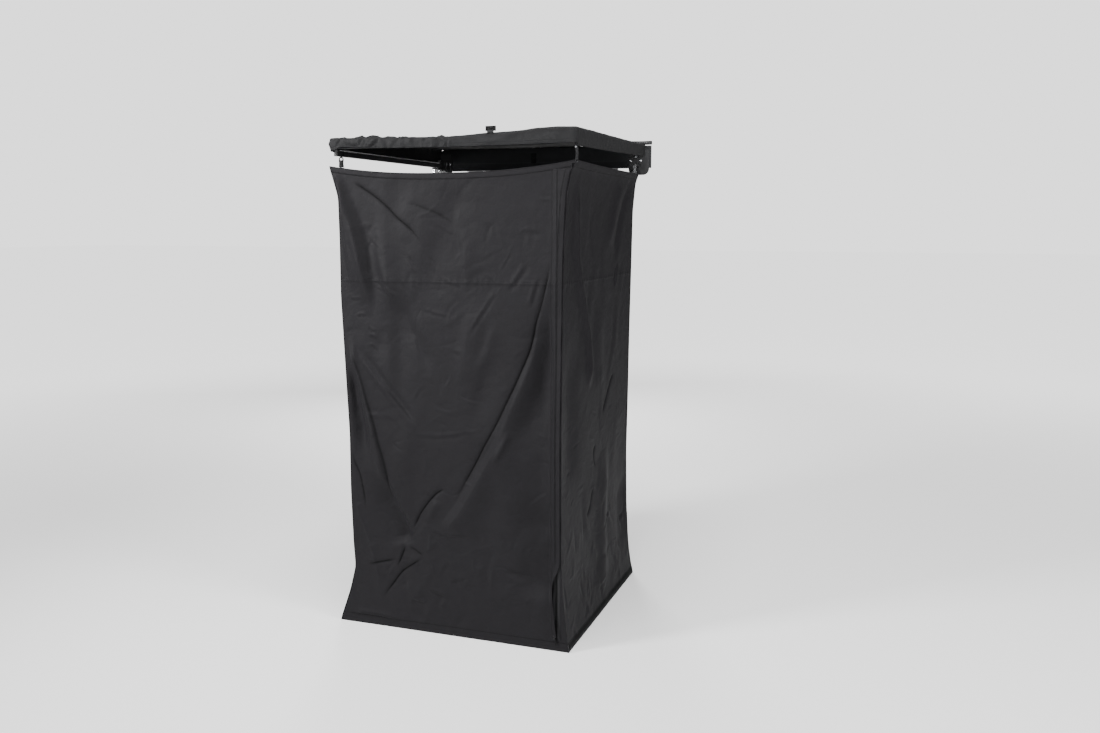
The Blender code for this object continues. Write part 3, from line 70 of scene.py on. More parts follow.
camera_data = bpy.data.cameras.new("camera")
camera_data.lens = CAMERA_LENS
camera_data.sensor_width = 36.0
camera_data.clip_end = 200.0
camera = bpy.data.objects.new("camera", camera_data)
camera.location = CAMERA_PLACE
camera.rotation_euler = (math.radians(90 - CAMERA_DOWN), 0.0, math.radians(CAMERA_TURN))
bpy.context.scene.collection.objects.link(camera)
bpy.context.scene.camera = camera
print("camera lens", CAMERA_LENS)

# %% [markdown]
# ## Floor and light
# A studio floor is one wide pale sheet that grows brighter with distance until it meets the pale
# background, so no edge shows. The background is bright where the camera sees it, but gives only
# soft light, because black cloth needs one clear direction of light to show its folds. A narrow
# lamp from the left does that. A wide one on the right keeps the side wall open, one above draws
# the roof's edge, a small one fills the front, and one behind lights the back.

# %% Floor and light
FLOOR_NEAR, FLOOR_FAR = 2.0, 9.0
BACKDROP_STRENGTH = 1.9
AMBIENT_STRENGTH = 0.13
NEAR_GLOW = 0.40


def linked(thing):
    """Put an object in the scene."""
    bpy.context.scene.collection.objects.link(thing)
    return thing


def new_mesh(name, maker, *materials):
    """A mesh from a bmesh, which is then freed."""
    mesh = bpy.data.meshes.new(name)
    maker.to_mesh(mesh)
    maker.free()
    for material in materials:
        mesh.materials.append(material)
    return mesh


def seen_strength(tree, bright):
    """Bright where the camera looks straight at it, and low in the light that it gives."""
    seen = tree.nodes.new("ShaderNodeLightPath")
    level = tree.nodes.new("ShaderNodeMapRange")
    level.inputs["To Min"].default_value = AMBIENT_STRENGTH
    level.inputs["To Max"].default_value = bright
    tree.links.new(seen.outputs["Is Camera Ray"], level.inputs["Value"])
    return level.outputs["Result"]


def floor_paint():
    """White paint that glows more and more from a near distance to a far one."""
    made = bpy.data.materials.new("floor_paint")
    made.use_nodes = True
    tree = made.node_tree
    shader = tree.nodes["Principled BSDF"]
    shader.inputs["Base Color"].default_value = (0.86, 0.86, 0.86, 1.0)
    shader.inputs["Roughness"].default_value = 0.9
    shader.inputs["Emission Color"].default_value = (1.0, 1.0, 1.0, 1.0)
    place = tree.nodes.new("ShaderNodeTexCoord")
    length = tree.nodes.new("ShaderNodeVectorMath")
    length.operation = "LENGTH"
    fade = tree.nodes.new("ShaderNodeMapRange")
    fade.interpolation_type = "SMOOTHSTEP"
    for title, value in (("From Min", FLOOR_NEAR), ("From Max", FLOOR_FAR), ("To Min", NEAR_GLOW),
                         ("To Max", BACKDROP_STRENGTH * 0.9)):
        fade.inputs[title].default_value = value
    glow = tree.nodes.new("ShaderNodeMath")
    glow.operation = "MULTIPLY"
    tree.links.new(place.outputs["Object"], length.inputs[0])
    tree.links.new(length.outputs["Value"], fade.inputs["Value"])
    tree.links.new(fade.outputs["Result"], glow.inputs[0])
    tree.links.new(seen_strength(tree, 1.0), glow.inputs[1])
    tree.links.new(glow.outputs[0], shader.inputs["Emission Strength"])
    return made


floor_maker = bmesh.new()
bmesh.ops.create_grid(floor_maker, x_segments=4, y_segments=4, size=60.0)
bmesh.ops.translate(floor_maker, verts=floor_maker.verts, vec=(0.0, 0.0, GROUND - 0.001))
floor_mesh = new_mesh("studio_floor", floor_maker, floor_paint())
studio_floor = linked(bpy.data.objects.new("studio_floor", floor_mesh))

world = bpy.data.worlds.new("studio")
world.use_nodes = True
bpy.context.scene.world = world
sky = world.node_tree.nodes["Background"]
sky.inputs["Color"].default_value = (1.0, 1.0, 1.0, 1.0)
world.node_tree.links.new(seen_strength(world.node_tree, BACKDROP_STRENGTH), sky.inputs["Strength"])


LAMPS = (  # name, place, target, side in metres, watts, spread in degrees
    ("key_lamp", (-3.2, -4.1, 0.9), (-0.35, -1.1, -0.6), 1.0, 76, 80.0),
    ("side_lamp", (4.2, -2.2, 1.6), (0.5, -0.6, -0.5), 1.6, 195, 180.0),
    ("top_lamp", (0.3, -2.0, 3.4), (0.0, -0.9, 0.0), 1.2, 170, 180.0),
    ("front_lamp", (1.0, -4.2, -0.35), (-0.2, -1.0, -0.1), 0.7, 45, 180.0),
    ("back_lamp", (-2.2, 4.2, 0.8), (0.0, 0.0, -0.8), 1.6, 240, 180.0),
)


def lamp(name, place, target, size, watts, spread):
    """A square soft lamp that looks at a point; a small spread keeps its light near that point."""
    data = bpy.data.lights.new(name, "AREA")
    data.size = size
    data.energy = watts
    data.spread = math.radians(spread)
    made = linked(bpy.data.objects.new(name, data))
    made.location = place
    made.rotation_euler = (Vector(target) - Vector(place)).to_track_quat("-Z", "Y").to_euler()


for entry in LAMPS:
    lamp(*entry)
print("lamps:", ", ".join(entry[0] for entry in LAMPS))

# %% [markdown]
# ## Effects that several finishes share
# Cloth and webbing show a weave, and all soft pieces have fine crumples that are too small to
# model. Coated metal has a grain and slight changes of tone. Each effect is a node group that is
# built once and placed in each material with its own values, so a change here reaches them all.

# %% Node groups
def new_group(name, inputs, outputs):
    """An empty shader group: inputs are (name, kind, default), outputs are (name, kind)."""
    group = bpy.data.node_groups.new(name, "ShaderNodeTree")
    for title, kind, default in inputs:
        socket = group.interface.new_socket(title, in_out="INPUT", socket_type=kind)
        if default is not None:
            socket.default_value = default
    for title, kind in outputs:
        group.interface.new_socket(title, in_out="OUTPUT", socket_type=kind)
    return group, group.nodes.new("NodeGroupInput"), group.nodes.new("NodeGroupOutput")


def feed(tree, socket, value):
    """Set a socket to a number, or wire another socket to it."""
    if isinstance(value, (int, float)):
        socket.default_value = value
    else:
        tree.links.new(value, socket)


def calculate(tree, operation, first, second=None, third=None, clamp=False):
    """A Math node; sockets are wired and numbers are set."""
    made = tree.nodes.new("ShaderNodeMath")
    made.operation = operation
    made.use_clamp = clamp
    for socket, value in zip(made.inputs, (first, second, third)):
        if value is not None:
            feed(tree, socket, value)
    return made.outputs[0]


def noise(tree, vector, scale, detail=3.0, roughness=0.5):
    """A noise texture; scale is a number or a socket."""
    made = tree.nodes.new("ShaderNodeTexNoise")
    for title, value in (("Vector", vector), ("Scale", scale), ("Detail", detail), ("Roughness", roughness)):
        feed(tree, made.inputs[title], value)
    return made.outputs["Fac"]


def build_weave():
    """Over and under of a plain weave; the pitch is the distance between threads in metres."""
    sockets = [("Vector", "NodeSocketVector", None), ("Pitch", "NodeSocketFloat", 0.001)]
    group, entry, leave = new_group("weave", sockets, [("Height", "NodeSocketFloat")])
    split = group.nodes.new("ShaderNodeSeparateXYZ")
    group.links.new(entry.outputs["Vector"], split.inputs[0])
    turns = calculate(group, "DIVIDE", math.pi, entry.outputs["Pitch"])
    across = calculate(group, "SINE", calculate(group, "MULTIPLY", split.outputs["X"], turns))
    along = calculate(group, "SINE", calculate(group, "MULTIPLY", split.outputs["Y"], turns))
    both = calculate(group, "MULTIPLY", across, along)
    height = calculate(group, "MULTIPLY_ADD", both, 0.5, 0.5)
    group.links.new(height, leave.inputs["Height"])
    return group


def build_crumple():
    """Fine crumples of handled cloth: sharp where two soft noises cross their middle."""
    sockets = [("Vector", "NodeSocketVector", None), ("Scale", "NodeSocketFloat", 12.0)]
    outputs = [("Height", "NodeSocketFloat"), ("Tone", "NodeSocketFloat")]
    group, entry, leave = new_group("crumple", sockets, outputs)
    wide = noise(group, entry.outputs["Vector"], entry.outputs["Scale"], 3.0, 0.55)
    fold = calculate(group, "ABSOLUTE", calculate(group, "SUBTRACT", wide, 0.5))
    fine_scale = calculate(group, "MULTIPLY", entry.outputs["Scale"], 3.7)
    fine = noise(group, entry.outputs["Vector"], fine_scale, 4.0, 0.6)
    fine_fold = calculate(group, "ABSOLUTE", calculate(group, "SUBTRACT", fine, 0.5))
    height = calculate(group, "MULTIPLY_ADD", fine_fold, 0.35, fold)
    group.links.new(height, leave.inputs["Height"])
    slow_scale = calculate(group, "MULTIPLY", entry.outputs["Scale"], 0.25)
    group.links.new(noise(group, entry.outputs["Vector"], slow_scale, 2.0), leave.inputs["Tone"])
    return group


def build_grain():
    """Grain and tone of coated or moulded surfaces."""
    sockets = [("Vector", "NodeSocketVector", None), ("Scale", "NodeSocketFloat", 400.0)]
    outputs = [("Height", "NodeSocketFloat"), ("Tone", "NodeSocketFloat")]
    group, entry, leave = new_group("grain", sockets, outputs)
    fine = noise(group, entry.outputs["Vector"], entry.outputs["Scale"], 3.0)
    group.links.new(fine, leave.inputs["Height"])
    slow_scale = calculate(group, "MULTIPLY", entry.outputs["Scale"], 0.04)
    group.links.new(noise(group, entry.outputs["Vector"], slow_scale, 4.0, 0.6), leave.inputs["Tone"])
    return group


THREAD_PITCH = 0.0045


def build_stitch():
    """One row of thread: dashes of a set length along a line at a set distance from an edge."""
    sockets = [("Distance", "NodeSocketFloat", 0.0), ("Place", "NodeSocketFloat", 0.0),
               ("Half", "NodeSocketFloat", 0.001), ("Along", "NodeSocketFloat", 0.0)]
    group, entry, leave = new_group("stitch", sockets, [("Mask", "NodeSocketFloat")])
    off = calculate(group, "SUBTRACT", entry.outputs["Distance"], entry.outputs["Place"])
    ratio = calculate(group, "DIVIDE", calculate(group, "ABSOLUTE", off), entry.outputs["Half"])
    line = calculate(group, "SUBTRACT", 1.5, ratio, clamp=True)
    turns = calculate(group, "MULTIPLY", entry.outputs["Along"], 2 * math.pi / THREAD_PITCH)
    dash = calculate(group, "SINE", turns)
    worn = calculate(group, "MULTIPLY_ADD", dash, 0.9, 0.75, clamp=True)
    group.links.new(calculate(group, "MULTIPLY", line, worn), leave.inputs["Mask"])
    return group


GROUPS = {"weave": build_weave(), "crumple": build_crumple(), "grain": build_grain(),
          "stitch": build_stitch()}
print("node groups:", ", ".join(GROUPS))

# %% [markdown]
# ## Cloth finishes
# The walls are a thin coated polyester: almost black, with a faint cool sheen, so its folds are
# read from soft highlights. The roof is a thicker, drier canvas. Both take their weave from the
# cloth's own UV map, which is laid out in metres, so the threads follow the cloth where it bends.
# Stitch rows lie at a set distance from an edge, read from values that each point carries.

# %% Cloth finishes
class Finish:
    """A material under construction: its tree, its shader and a few ways to add to them."""

    def __init__(self, name, colour, roughness, metallic=0.0):
        self.material = bpy.data.materials.new(name)
        self.material.use_nodes = True
        self.tree = self.material.node_tree
        self.shader = self.tree.nodes["Principled BSDF"]
        self.shader.inputs["Base Color"].default_value = (*colour, 1.0)
        self.shader.inputs["Roughness"].default_value = roughness
        self.shader.inputs["Metallic"].default_value = metallic
        self.colour = colour

    def set(self, **values):
        for title, value in values.items():
            self.shader.inputs[title.replace("_", " ")].default_value = value

    def group(self, name, **values):
        made = self.tree.nodes.new("ShaderNodeGroup")
        made.node_tree = GROUPS[name]
        for title, value in values.items():
            feed(self.tree, made.inputs[title], value)
        return made

    def uv(self):
        made = self.tree.nodes.new("ShaderNodeUVMap")
        made.uv_map = "cloth"
        return made.outputs["UV"]

    def uv_parts(self, uv):
        made = self.tree.nodes.new("ShaderNodeSeparateXYZ")
        self.tree.links.new(uv, made.inputs[0])
        return made.outputs["X"], made.outputs["Y"]

    def object_place(self):
        return self.tree.nodes.new("ShaderNodeTexCoord").outputs["Object"]

    def attribute(self, name):
        made = self.tree.nodes.new("ShaderNodeAttribute")
        made.attribute_name = name
        return made.outputs["Fac"]

    def tint(self, mask, other, under=None):
        """Mix the colour so far with another by a mask, and wire it to the shader."""
        made = self.tree.nodes.new("ShaderNodeMix")
        made.data_type = "RGBA"
        if under is None:
            made.inputs["A"].default_value = (*self.colour, 1.0)
        else:
            self.tree.links.new(under, made.inputs["A"])
        made.inputs["B"].default_value = (*other, 1.0)
        self.tree.links.new(mask, made.inputs["Factor"])
        self.tree.links.new(made.outputs["Result"], self.shader.inputs["Base Color"])
        return made.outputs["Result"]

    def bumps(self, *layers):
        """Bumps on top of each other, each a (height socket, distance, strength)."""
        under = None
        for height, distance, strength in layers:
            made = self.tree.nodes.new("ShaderNodeBump")
            for title, value in (("Strength", strength), ("Distance", distance), ("Height", height)):
                feed(self.tree, made.inputs[title], value)
            if under is not None:
                self.tree.links.new(under, made.inputs["Normal"])
            under = made.outputs["Normal"]
        self.tree.links.new(under, self.shader.inputs["Normal"])

    def rough(self, tone, low, high):
        spread = calculate(self.tree, "MULTIPLY_ADD", tone, high - low, low)
        self.tree.links.new(spread, self.shader.inputs["Roughness"])
        return spread

    def stitches(self, rows, half=0.0006):
        """The strongest of several rows, each a (distance socket, place, socket along it)."""
        total = None
        for distance, place, along in rows:
            row = self.group("stitch", Distance=distance, Place=place, Half=half, Along=along)
            mask = row.outputs["Mask"]
            total = mask if total is None else calculate(self.tree, "MAXIMUM", total, mask)
        return total


def shade(colour, factor):
    """A lighter or darker colour."""
    return tuple(channel * factor for channel in colour)


SEAM_HEIGHT = 1.582
HEM_TALL = 0.038
TOP_HEM_TALL = 0.025
WALL_COLOUR = (0.0116, 0.0110, 0.0124)
ROOF_COLOUR = (0.0086, 0.0086, 0.0093)


def wall_finish():
    """Coated polyester: stitches follow the hems and the seam, and painted shade darkens and dulls sharp
    creases.
    """
    finish = Finish("wall_cloth", WALL_COLOUR, 0.5)
    finish.set(Sheen_Weight=0.015, Sheen_Roughness=0.35, Specular_IOR_Level=0.09)
    uv = finish.uv()
    across, up = finish.uv_parts(uv)
    crumple = finish.group("crumple", Vector=uv, Scale=11.0)
    fine = finish.group("crumple", Vector=uv, Scale=42.0)
    weave = finish.group("weave", Vector=uv, Pitch=0.0007)
    from_top = finish.attribute("from_top")
    rows = finish.stitches([(from_top, 0.004, across), (from_top, TOP_HEM_TALL - 0.002, across),
                            (up, HEM_TALL - 0.003, across), (up, SEAM_HEIGHT - 0.006, across),
                            (up, SEAM_HEIGHT + 0.006, across)])
    for distance, edge, half in ((up, HEM_TALL, 0.0014), (from_top, TOP_HEM_TALL, 0.0012)):
        fell = finish.group("stitch", Distance=distance, Place=edge + 0.0015, Half=half, Along=0.001)
        rows = calculate(finish.tree, "MAXIMUM", rows, fell.outputs["Mask"])
    # Painted shade: the 'pinch' attribute darkens and dulls sharp creases and the right wall's bottom hem.
    pinch = finish.attribute("pinch")
    toned = finish.tint(crumple.outputs["Tone"], shade(WALL_COLOUR, 1.18))
    sewn = finish.tint(rows, shade(WALL_COLOUR, 0.4), toned)
    finish.tint(pinch, shade(WALL_COLOUR, 0.12), sewn)
    spread = calculate(finish.tree, "MAXIMUM", finish.rough(crumple.outputs["Tone"], 0.54, 0.68), pinch)
    finish.tree.links.new(spread, finish.shader.inputs["Roughness"])
    finish.bumps((crumple.outputs["Height"], 0.010, 0.42), (fine.outputs["Height"], 0.0022, 0.36),
                 (weave.outputs["Height"], 0.0002, 0.25),
                 (calculate(finish.tree, "SUBTRACT", 1.0, rows), 0.0012, 0.7))
    return finish.material


def roof_finish():
    """Canvas: rougher and more crumpled than the walls, with two rows of stitches at its hem."""
    finish = Finish("roof_canvas", ROOF_COLOUR, 0.62)
    finish.set(Sheen_Weight=0.03, Sheen_Roughness=0.45, Specular_IOR_Level=0.17)
    uv = finish.uv()
    across, _ = finish.uv_parts(uv)
    crumple = finish.group("crumple", Vector=uv, Scale=16.0)
    fine = finish.group("crumple", Vector=uv, Scale=60.0)
    weave = finish.group("weave", Vector=uv, Pitch=0.0011)
    from_hem = finish.attribute("from_hem")
    rows = finish.stitches([(from_hem, 0.004, across), (from_hem, 0.012, across)], 0.0008)
    toned = finish.tint(crumple.outputs["Tone"], shade(ROOF_COLOUR, 1.5))
    finish.tint(rows, shade(ROOF_COLOUR, 0.4), toned)
    finish.rough(crumple.outputs["Tone"], 0.54, 0.72)
    finish.bumps((crumple.outputs["Height"], 0.010, 0.50), (fine.outputs["Height"], 0.0016, 0.45),
                 (weave.outputs["Height"], 0.0003, 0.5),
                 (calculate(finish.tree, "SUBTRACT", 1.0, rows), 0.0012, 0.8))
    return finish.material


def webbing_finish(name, colour, wide, pitch=0.0016):
    """Woven strap with a row of stitches near both long edges."""
    finish = Finish(name, colour, 0.7)
    finish.set(Sheen_Weight=0.03, Specular_IOR_Level=0.25)
    uv = finish.uv()
    across, along = finish.uv_parts(uv)
    weave = finish.group("weave", Vector=uv, Pitch=pitch)
    grain = finish.group("grain", Vector=uv, Scale=900.0)
    edge = calculate(finish.tree, "ABSOLUTE", across)
    rows = finish.stitches([(edge, wide / 2 - 0.002, along)], 0.0005)
    toned = finish.tint(weave.outputs["Height"], shade(colour, 1.7))
    finish.tint(rows, shade(colour, 0.45), toned)
    finish.bumps((weave.outputs["Height"], 0.0006, 0.9), (grain.outputs["Height"], 0.0002, 0.4))
    return finish.material


def vinyl_finish():
    """Rolled cover: thick coated cloth with a soft shine and long creases along the roll."""
    finish = Finish("cover_vinyl", (0.018, 0.018, 0.019), 0.4)
    finish.set(Specular_IOR_Level=0.5)
    uv = finish.uv()
    crumple = finish.group("crumple", Vector=uv, Scale=26.0)
    weave = finish.group("weave", Vector=uv, Pitch=0.0012)
    finish.tint(crumple.outputs["Tone"], (0.030, 0.030, 0.032))
    finish.rough(crumple.outputs["Tone"], 0.34, 0.50)
    finish.bumps((crumple.outputs["Height"], 0.006, 0.5), (weave.outputs["Height"], 0.0003, 0.3))
    return finish.material


WALL_CLOTH = wall_finish()
ROOF_CANVAS = roof_finish()
COVER_VINYL = vinyl_finish()
BLACK_WEBBING = webbing_finish("black_webbing", (0.008, 0.008, 0.009), 0.025)
GREY_WEBBING = webbing_finish("grey_webbing", (0.009, 0.009, 0.010), 0.012, 0.0012)
print("cloth finishes:", WALL_CLOTH.name, ROOF_CANVAS.name, COVER_VINYL.name)

# %% [markdown]
# ## Metal and moulded finishes
# The tubes are black anodised and catch a thin bright line along their edges; on the left arm that
# line is a painted highlight, a pale band just under its top. The brackets are powder coated, which
# is rougher and slightly pebbled, and their corners are rubbed a little paler. Plugs are moulded
# nylon, and the fasteners are zinc plated. The frame's own pieces keep their shape and only change
# finish.

# %% Metal and moulded finishes
def worn_edges(finish, under, paler):
    """Rubbed corners: the Geometry node's pointiness picks out the convex edges."""
    geometry = finish.tree.nodes.new("ShaderNodeNewGeometry")
    sharp = calculate(finish.tree, "SUBTRACT", geometry.outputs["Pointiness"], 0.53)
    mask = calculate(finish.tree, "MULTIPLY", sharp, 9.0, clamp=True)
    return finish.tint(mask, paler, under)


# Heights of the painted highlight band along the top of the left arm.
HIGHLIGHT_LOW, HIGHLIGHT_HIGH, HIGHLIGHT_SHARPNESS = -0.0172, -0.0112, 1500.0


def painted_edge_highlight(finish, under, highlight_colour):
    """A painted highlight: a thin pale band just under the top of the left arm, where its edge catches light.
    """
    split = finish.tree.nodes.new("ShaderNodeSeparateXYZ")
    finish.tree.links.new(finish.object_place(), split.inputs[0])
    height, slope = split.outputs["Z"], HIGHLIGHT_SHARPNESS
    above = calculate(finish.tree, "MULTIPLY_ADD", height, slope, -slope * HIGHLIGHT_LOW, clamp=True)
    below = calculate(finish.tree, "MULTIPLY_ADD", height, -slope, slope * HIGHLIGHT_HIGH, clamp=True)
    return finish.tint(calculate(finish.tree, "MULTIPLY", above, below), highlight_colour, under)


def coated(name, colour, roughness, scale, strength, metallic=0.0, coat=0.0, wear=2.2, highlight_colour=None,
           specular=0.5):
    """A coated or moulded surface: grain, slight changes of tone, corners worn paler, and an optional painted
    highlight.
    """
    finish = Finish(name, colour, roughness, metallic)
    finish.set(Coat_Weight=coat, Specular_IOR_Level=specular)
    place = finish.object_place()
    grain = finish.group("grain", Vector=place, Scale=scale)
    toned = finish.tint(grain.outputs["Tone"], shade(colour, 1.5))
    worn = worn_edges(finish, toned, shade(colour, wear))
    if highlight_colour:
        painted_edge_highlight(finish, worn, highlight_colour)
    finish.rough(grain.outputs["Tone"], roughness - 0.06, roughness + 0.08)
    finish.bumps((grain.outputs["Height"], 0.0004, strength))
    return finish.material


TUBE_LOOK = ((0.010, 0.010, 0.011), 0.34, 900.0, 0.10, 0.2, 0.1)
TUBE_BLACK = coated("tube_black", *TUBE_LOOK)
# The left arm's tube carries a painted highlight along its top edge.
HIGHLIGHT_TUBE = coated("tube_painted_highlight", *TUBE_LOOK, highlight_colour=(0.90, 0.90, 0.91))
POWDER_BLACK = coated("powder_black", (0.012, 0.012, 0.013), 0.42, 1400.0, 0.35, wear=3.0)
NYLON_BLACK = coated("nylon_black", (0.013, 0.013, 0.014), 0.46, 1800.0, 0.20)
NYLON_TRIM = coated("nylon_trim", (0.0025, 0.0025, 0.0027), 0.55, 1800.0, 0.20, wear=1.2, specular=0.12)
RAIL_ALLOY = coated("rail_alloy", (0.030, 0.031, 0.033), 0.32, 700.0, 0.10, 0.8)
ZINC = coated("zinc_plate", (0.62, 0.63, 0.65), 0.24, 600.0, 0.10, 1.0, wear=1.2)

SIDES = ("left", "right")
ZINC_PIECES = [f"mount_{kind}_{number}" for kind in ("bolt", "nut") for number in (1, 2, 3, 4)]
ZINC_PIECES += [f"{side}_bracket_bolt_{number}" for side in SIDES for number in (1, 2)]
ZINC_PIECES += [f"{side}_pivot_{kind}" for side in SIDES for kind in ("bolt", "nut")]
ZINC_PIECES += ["left_corner_bolt", "left_corner_nut", "right_corner_rivet", "front_right_stud", "lock_pin",
                "back_left_hook", "back_right_hook"]
KEPT_FINISHES = (
    (HIGHLIGHT_TUBE, ("left_arm_tube",)),
    (TUBE_BLACK, ("left_bar_tube", "right_arm_tube", "right_bar_tube")),
    (POWDER_BLACK, [f"{side}_{kind}_bracket" for kind in ("hinge", "mount") for side in SIDES]),
    (NYLON_BLACK, ("left_arm_root_plug", "left_arm_tip_plug", "left_bar_root_plug", "left_bar_end_block",
                   "right_arm_root_plug", "right_arm_knuckle", "right_bar_knuckle", "right_bar_end_block",
                   "left_end_cap", "right_end_cap")),
    (RAIL_ALLOY, ("back_rail",)),
    (ZINC, ZINC_PIECES),
)
for finish_material, names in KEPT_FINISHES:
    for name in names:
        for place in nodes[name].material_slots:
            place.link = "OBJECT"
            place.material = finish_material
print("frame pieces dressed:", sum(len(names) for _, names in KEPT_FINISHES))

# %% [markdown]
# ## Tools for cloth
# Every soft piece here starts as a flat grid. A function then sends each of its points to its
# place, and writes the cloth's own map in metres, which the weave and the stitches follow. Thin
# straps get a thickness afterwards. Working this way keeps the cloth's threads even, because the
# map is the flat pattern that a sewer would cut.

# %% Cloth tools
def lay_cloth_map(mesh, pairs):
    """Write a UV map in metres from one pair of values per point."""
    layer = mesh.uv_layers.new(name="cloth")
    corners = np.zeros(len(mesh.loops), int)
    mesh.loops.foreach_get("vertex_index", corners)
    layer.data.foreach_set("uv", pairs[corners].ravel())


def grid_piece(name, cells, place, material, thickness=0.0, weld=False):
    """A grid whose points are moved by place(u, v), with u and v from 0 to 1."""
    maker = bmesh.new()
    bmesh.ops.create_grid(maker, x_segments=cells[0], y_segments=cells[1], size=0.5)
    mesh = new_mesh(name, maker, material)
    flat = np.zeros(len(mesh.vertices) * 3)
    mesh.vertices.foreach_get("co", flat)
    flat = flat.reshape(-1, 3)
    points, pairs, extras = place(flat[:, 0] + 0.5, flat[:, 1] + 0.5)
    mesh.vertices.foreach_set("co", points.ravel())
    lay_cloth_map(mesh, pairs)
    for title, values in extras.items():
        mesh.attributes.new(title, "FLOAT", "POINT").data.foreach_set("value", values)
    if thickness or weld:
        maker = bmesh.new()
        maker.from_mesh(mesh)
        if weld:
            bmesh.ops.remove_doubles(maker, verts=maker.verts, dist=1e-6)
        if thickness:
            bmesh.ops.solidify(maker, geom=maker.faces[:], thickness=thickness)
        bmesh.ops.recalc_face_normals(maker, faces=maker.faces)
        maker.to_mesh(mesh)
        maker.free()
    mesh.shade_smooth()
    mesh.update()
    return linked(bpy.data.objects.new(name, mesh))


def smooth_line(points, steps=6):
    """More points along a line, rounded at its corners."""
    line = np.array(points, float)
    if len(line) < 3:
        return line
    padded = np.vstack([2 * line[0] - line[1], line, 2 * line[-1] - line[-2]])
    out = []
    for index in range(1, len(padded) - 2):
        a, b, c, d = padded[index - 1:index + 3]
        for step in range(steps):
            t = step / steps
            out.append(0.5 * (2 * b + (c - a) * t + (2 * a - 5 * b + 4 * c - d) * t * t
                              + (3 * b - a - 3 * c + d) * t ** 3))
    out.append(line[-1])
    return np.array(out)


def walked_along(line):
    """How far along a line each of its points lies."""
    return np.concatenate([[0.0], np.cumsum(np.linalg.norm(np.diff(line, axis=0), axis=1))])


def ribbon(name, path, across, wide, thick, material, steps):
    """A strap of webbing along a smoothed path; across is the direction of its width."""
    line = smooth_line(path, steps)
    walked = walked_along(line)
    side = np.array(across, float) / np.linalg.norm(across)

    def place(u, v):
        along = v * walked[-1]
        spot = np.stack([np.interp(along, walked, line[:, axis]) for axis in range(3)], -1)
        offset = (u - 0.5) * wide
        return spot + offset[:, None] * side, np.stack([offset, along], -1), {}

    return grid_piece(name, (6, len(line) - 1), place, material, thick)


def tube_piece(name, path, radius, material, sides=8):
    """A thin round cord or wire along a path of points."""
    line = np.array(path, float)
    ahead = np.gradient(line, axis=0)
    ahead /= np.linalg.norm(ahead, axis=1)[:, None]
    walked = walked_along(line)
    helper = np.where(np.abs(ahead[:, 2:3]) > 0.7, [[1.0, 0.0, 0.0]], [[0.0, 0.0, 1.0]])
    side = np.cross(ahead, helper)
    side /= np.linalg.norm(side, axis=1)[:, None]
    other = np.cross(ahead, side)

    def place(u, v):
        index = np.rint(v * (len(line) - 1)).astype(int)
        turn = u * 2 * math.pi
        ring = np.cos(turn)[:, None] * side[index] + np.sin(turn)[:, None] * other[index]
        return line[index] + radius * ring, np.stack([u * 2 * math.pi * radius, walked[index]], -1), {}

    return grid_piece(name, (sides, len(line) - 1), place, material, weld=True)


def moulded(name, parts, material, bevel=0.0008):
    """A hard piece from boxes, each given by its low and high corner, with softened edges."""
    maker = bmesh.new()
    for low, high in parts:
        low, high = Vector(low), Vector(high)
        made = bmesh.ops.create_cube(maker, size=1.0)["verts"]
        bmesh.ops.scale(maker, verts=made, vec=high - low)
        bmesh.ops.translate(maker, verts=made, vec=(low + high) / 2)
        edges = list({edge for vert in made for edge in vert.link_edges})
        bmesh.ops.bevel(maker, geom=edges, offset=bevel, offset_type="OFFSET", segments=2, profile=0.5,
                        affect="EDGES", material=-1)
    mesh = new_mesh(name, maker, material)
    mesh.shade_smooth()
    mesh.set_sharp_from_angle(angle=math.radians(40))
    return linked(bpy.data.objects.new(name, mesh))


print("cloth tools ready")

# %% [markdown]
# ## Shaping cloth with strokes
# Hung cloth is a nearly flat sheet with a few long folds and many small ones. Each fold is drawn
# as a stroke: a line on the sheet with a width, a rise and a kind. A ridge is round, a crease is
# sharp, a lip is steep on one side and slack on the other, and a fold is high on one side of its
# line and low on the other, which gives the bright and dark pair that a real fold shows. A pleat
# has one long flat flank and narrows as it goes, and a pinch is a sharp groove, whose middle line
# is also marked for the finish. The long strokes are listed one by one after the real awning, and
# small ones are scattered with a fixed seed.

# %% Strokes
def soft_step(value):
    value = np.clip(value, 0.0, 1.0)
    return value * value * (3 - 2 * value)


def nearest_on_line(spots, line):
    """Distance to a line, the side it is on, and the share of the line's length reached."""
    spans = np.linalg.norm(np.diff(line, axis=0), axis=1)
    total = max(spans.sum(), 1e-6)
    best = np.full(len(spots), 1e9)
    side = np.zeros(len(spots))
    share = np.zeros(len(spots))
    walked = 0.0
    for first, second, span in zip(line, line[1:], spans):
        way = (second - first) / max(span, 1e-9)
        offset = spots - first
        ahead = np.clip(offset @ way, 0.0, span)
        away = np.linalg.norm(offset - ahead[:, None] * way, axis=1)
        closer = away < best
        best[closer] = away[closer]
        side[closer] = np.sign(way[0] * offset[closer, 1] - way[1] * offset[closer, 0])
        share[closer] = (walked + ahead[closer]) / total
        walked += span
    return best, side, share


def near_line(across, height, line, reach):
    """The points of a sheet that are inside the line's box, grown by a reach."""
    near = (across > line[:, 0].min() - reach) & (across < line[:, 0].max() + reach)
    return near & (height > line[:, 1].min() - reach) & (height < line[:, 1].max() + reach)


def end_fade(share, start, end):
    """A stroke fades in over its first part and out over its last."""
    return soft_step(share / start) * soft_step((1 - share) / end)


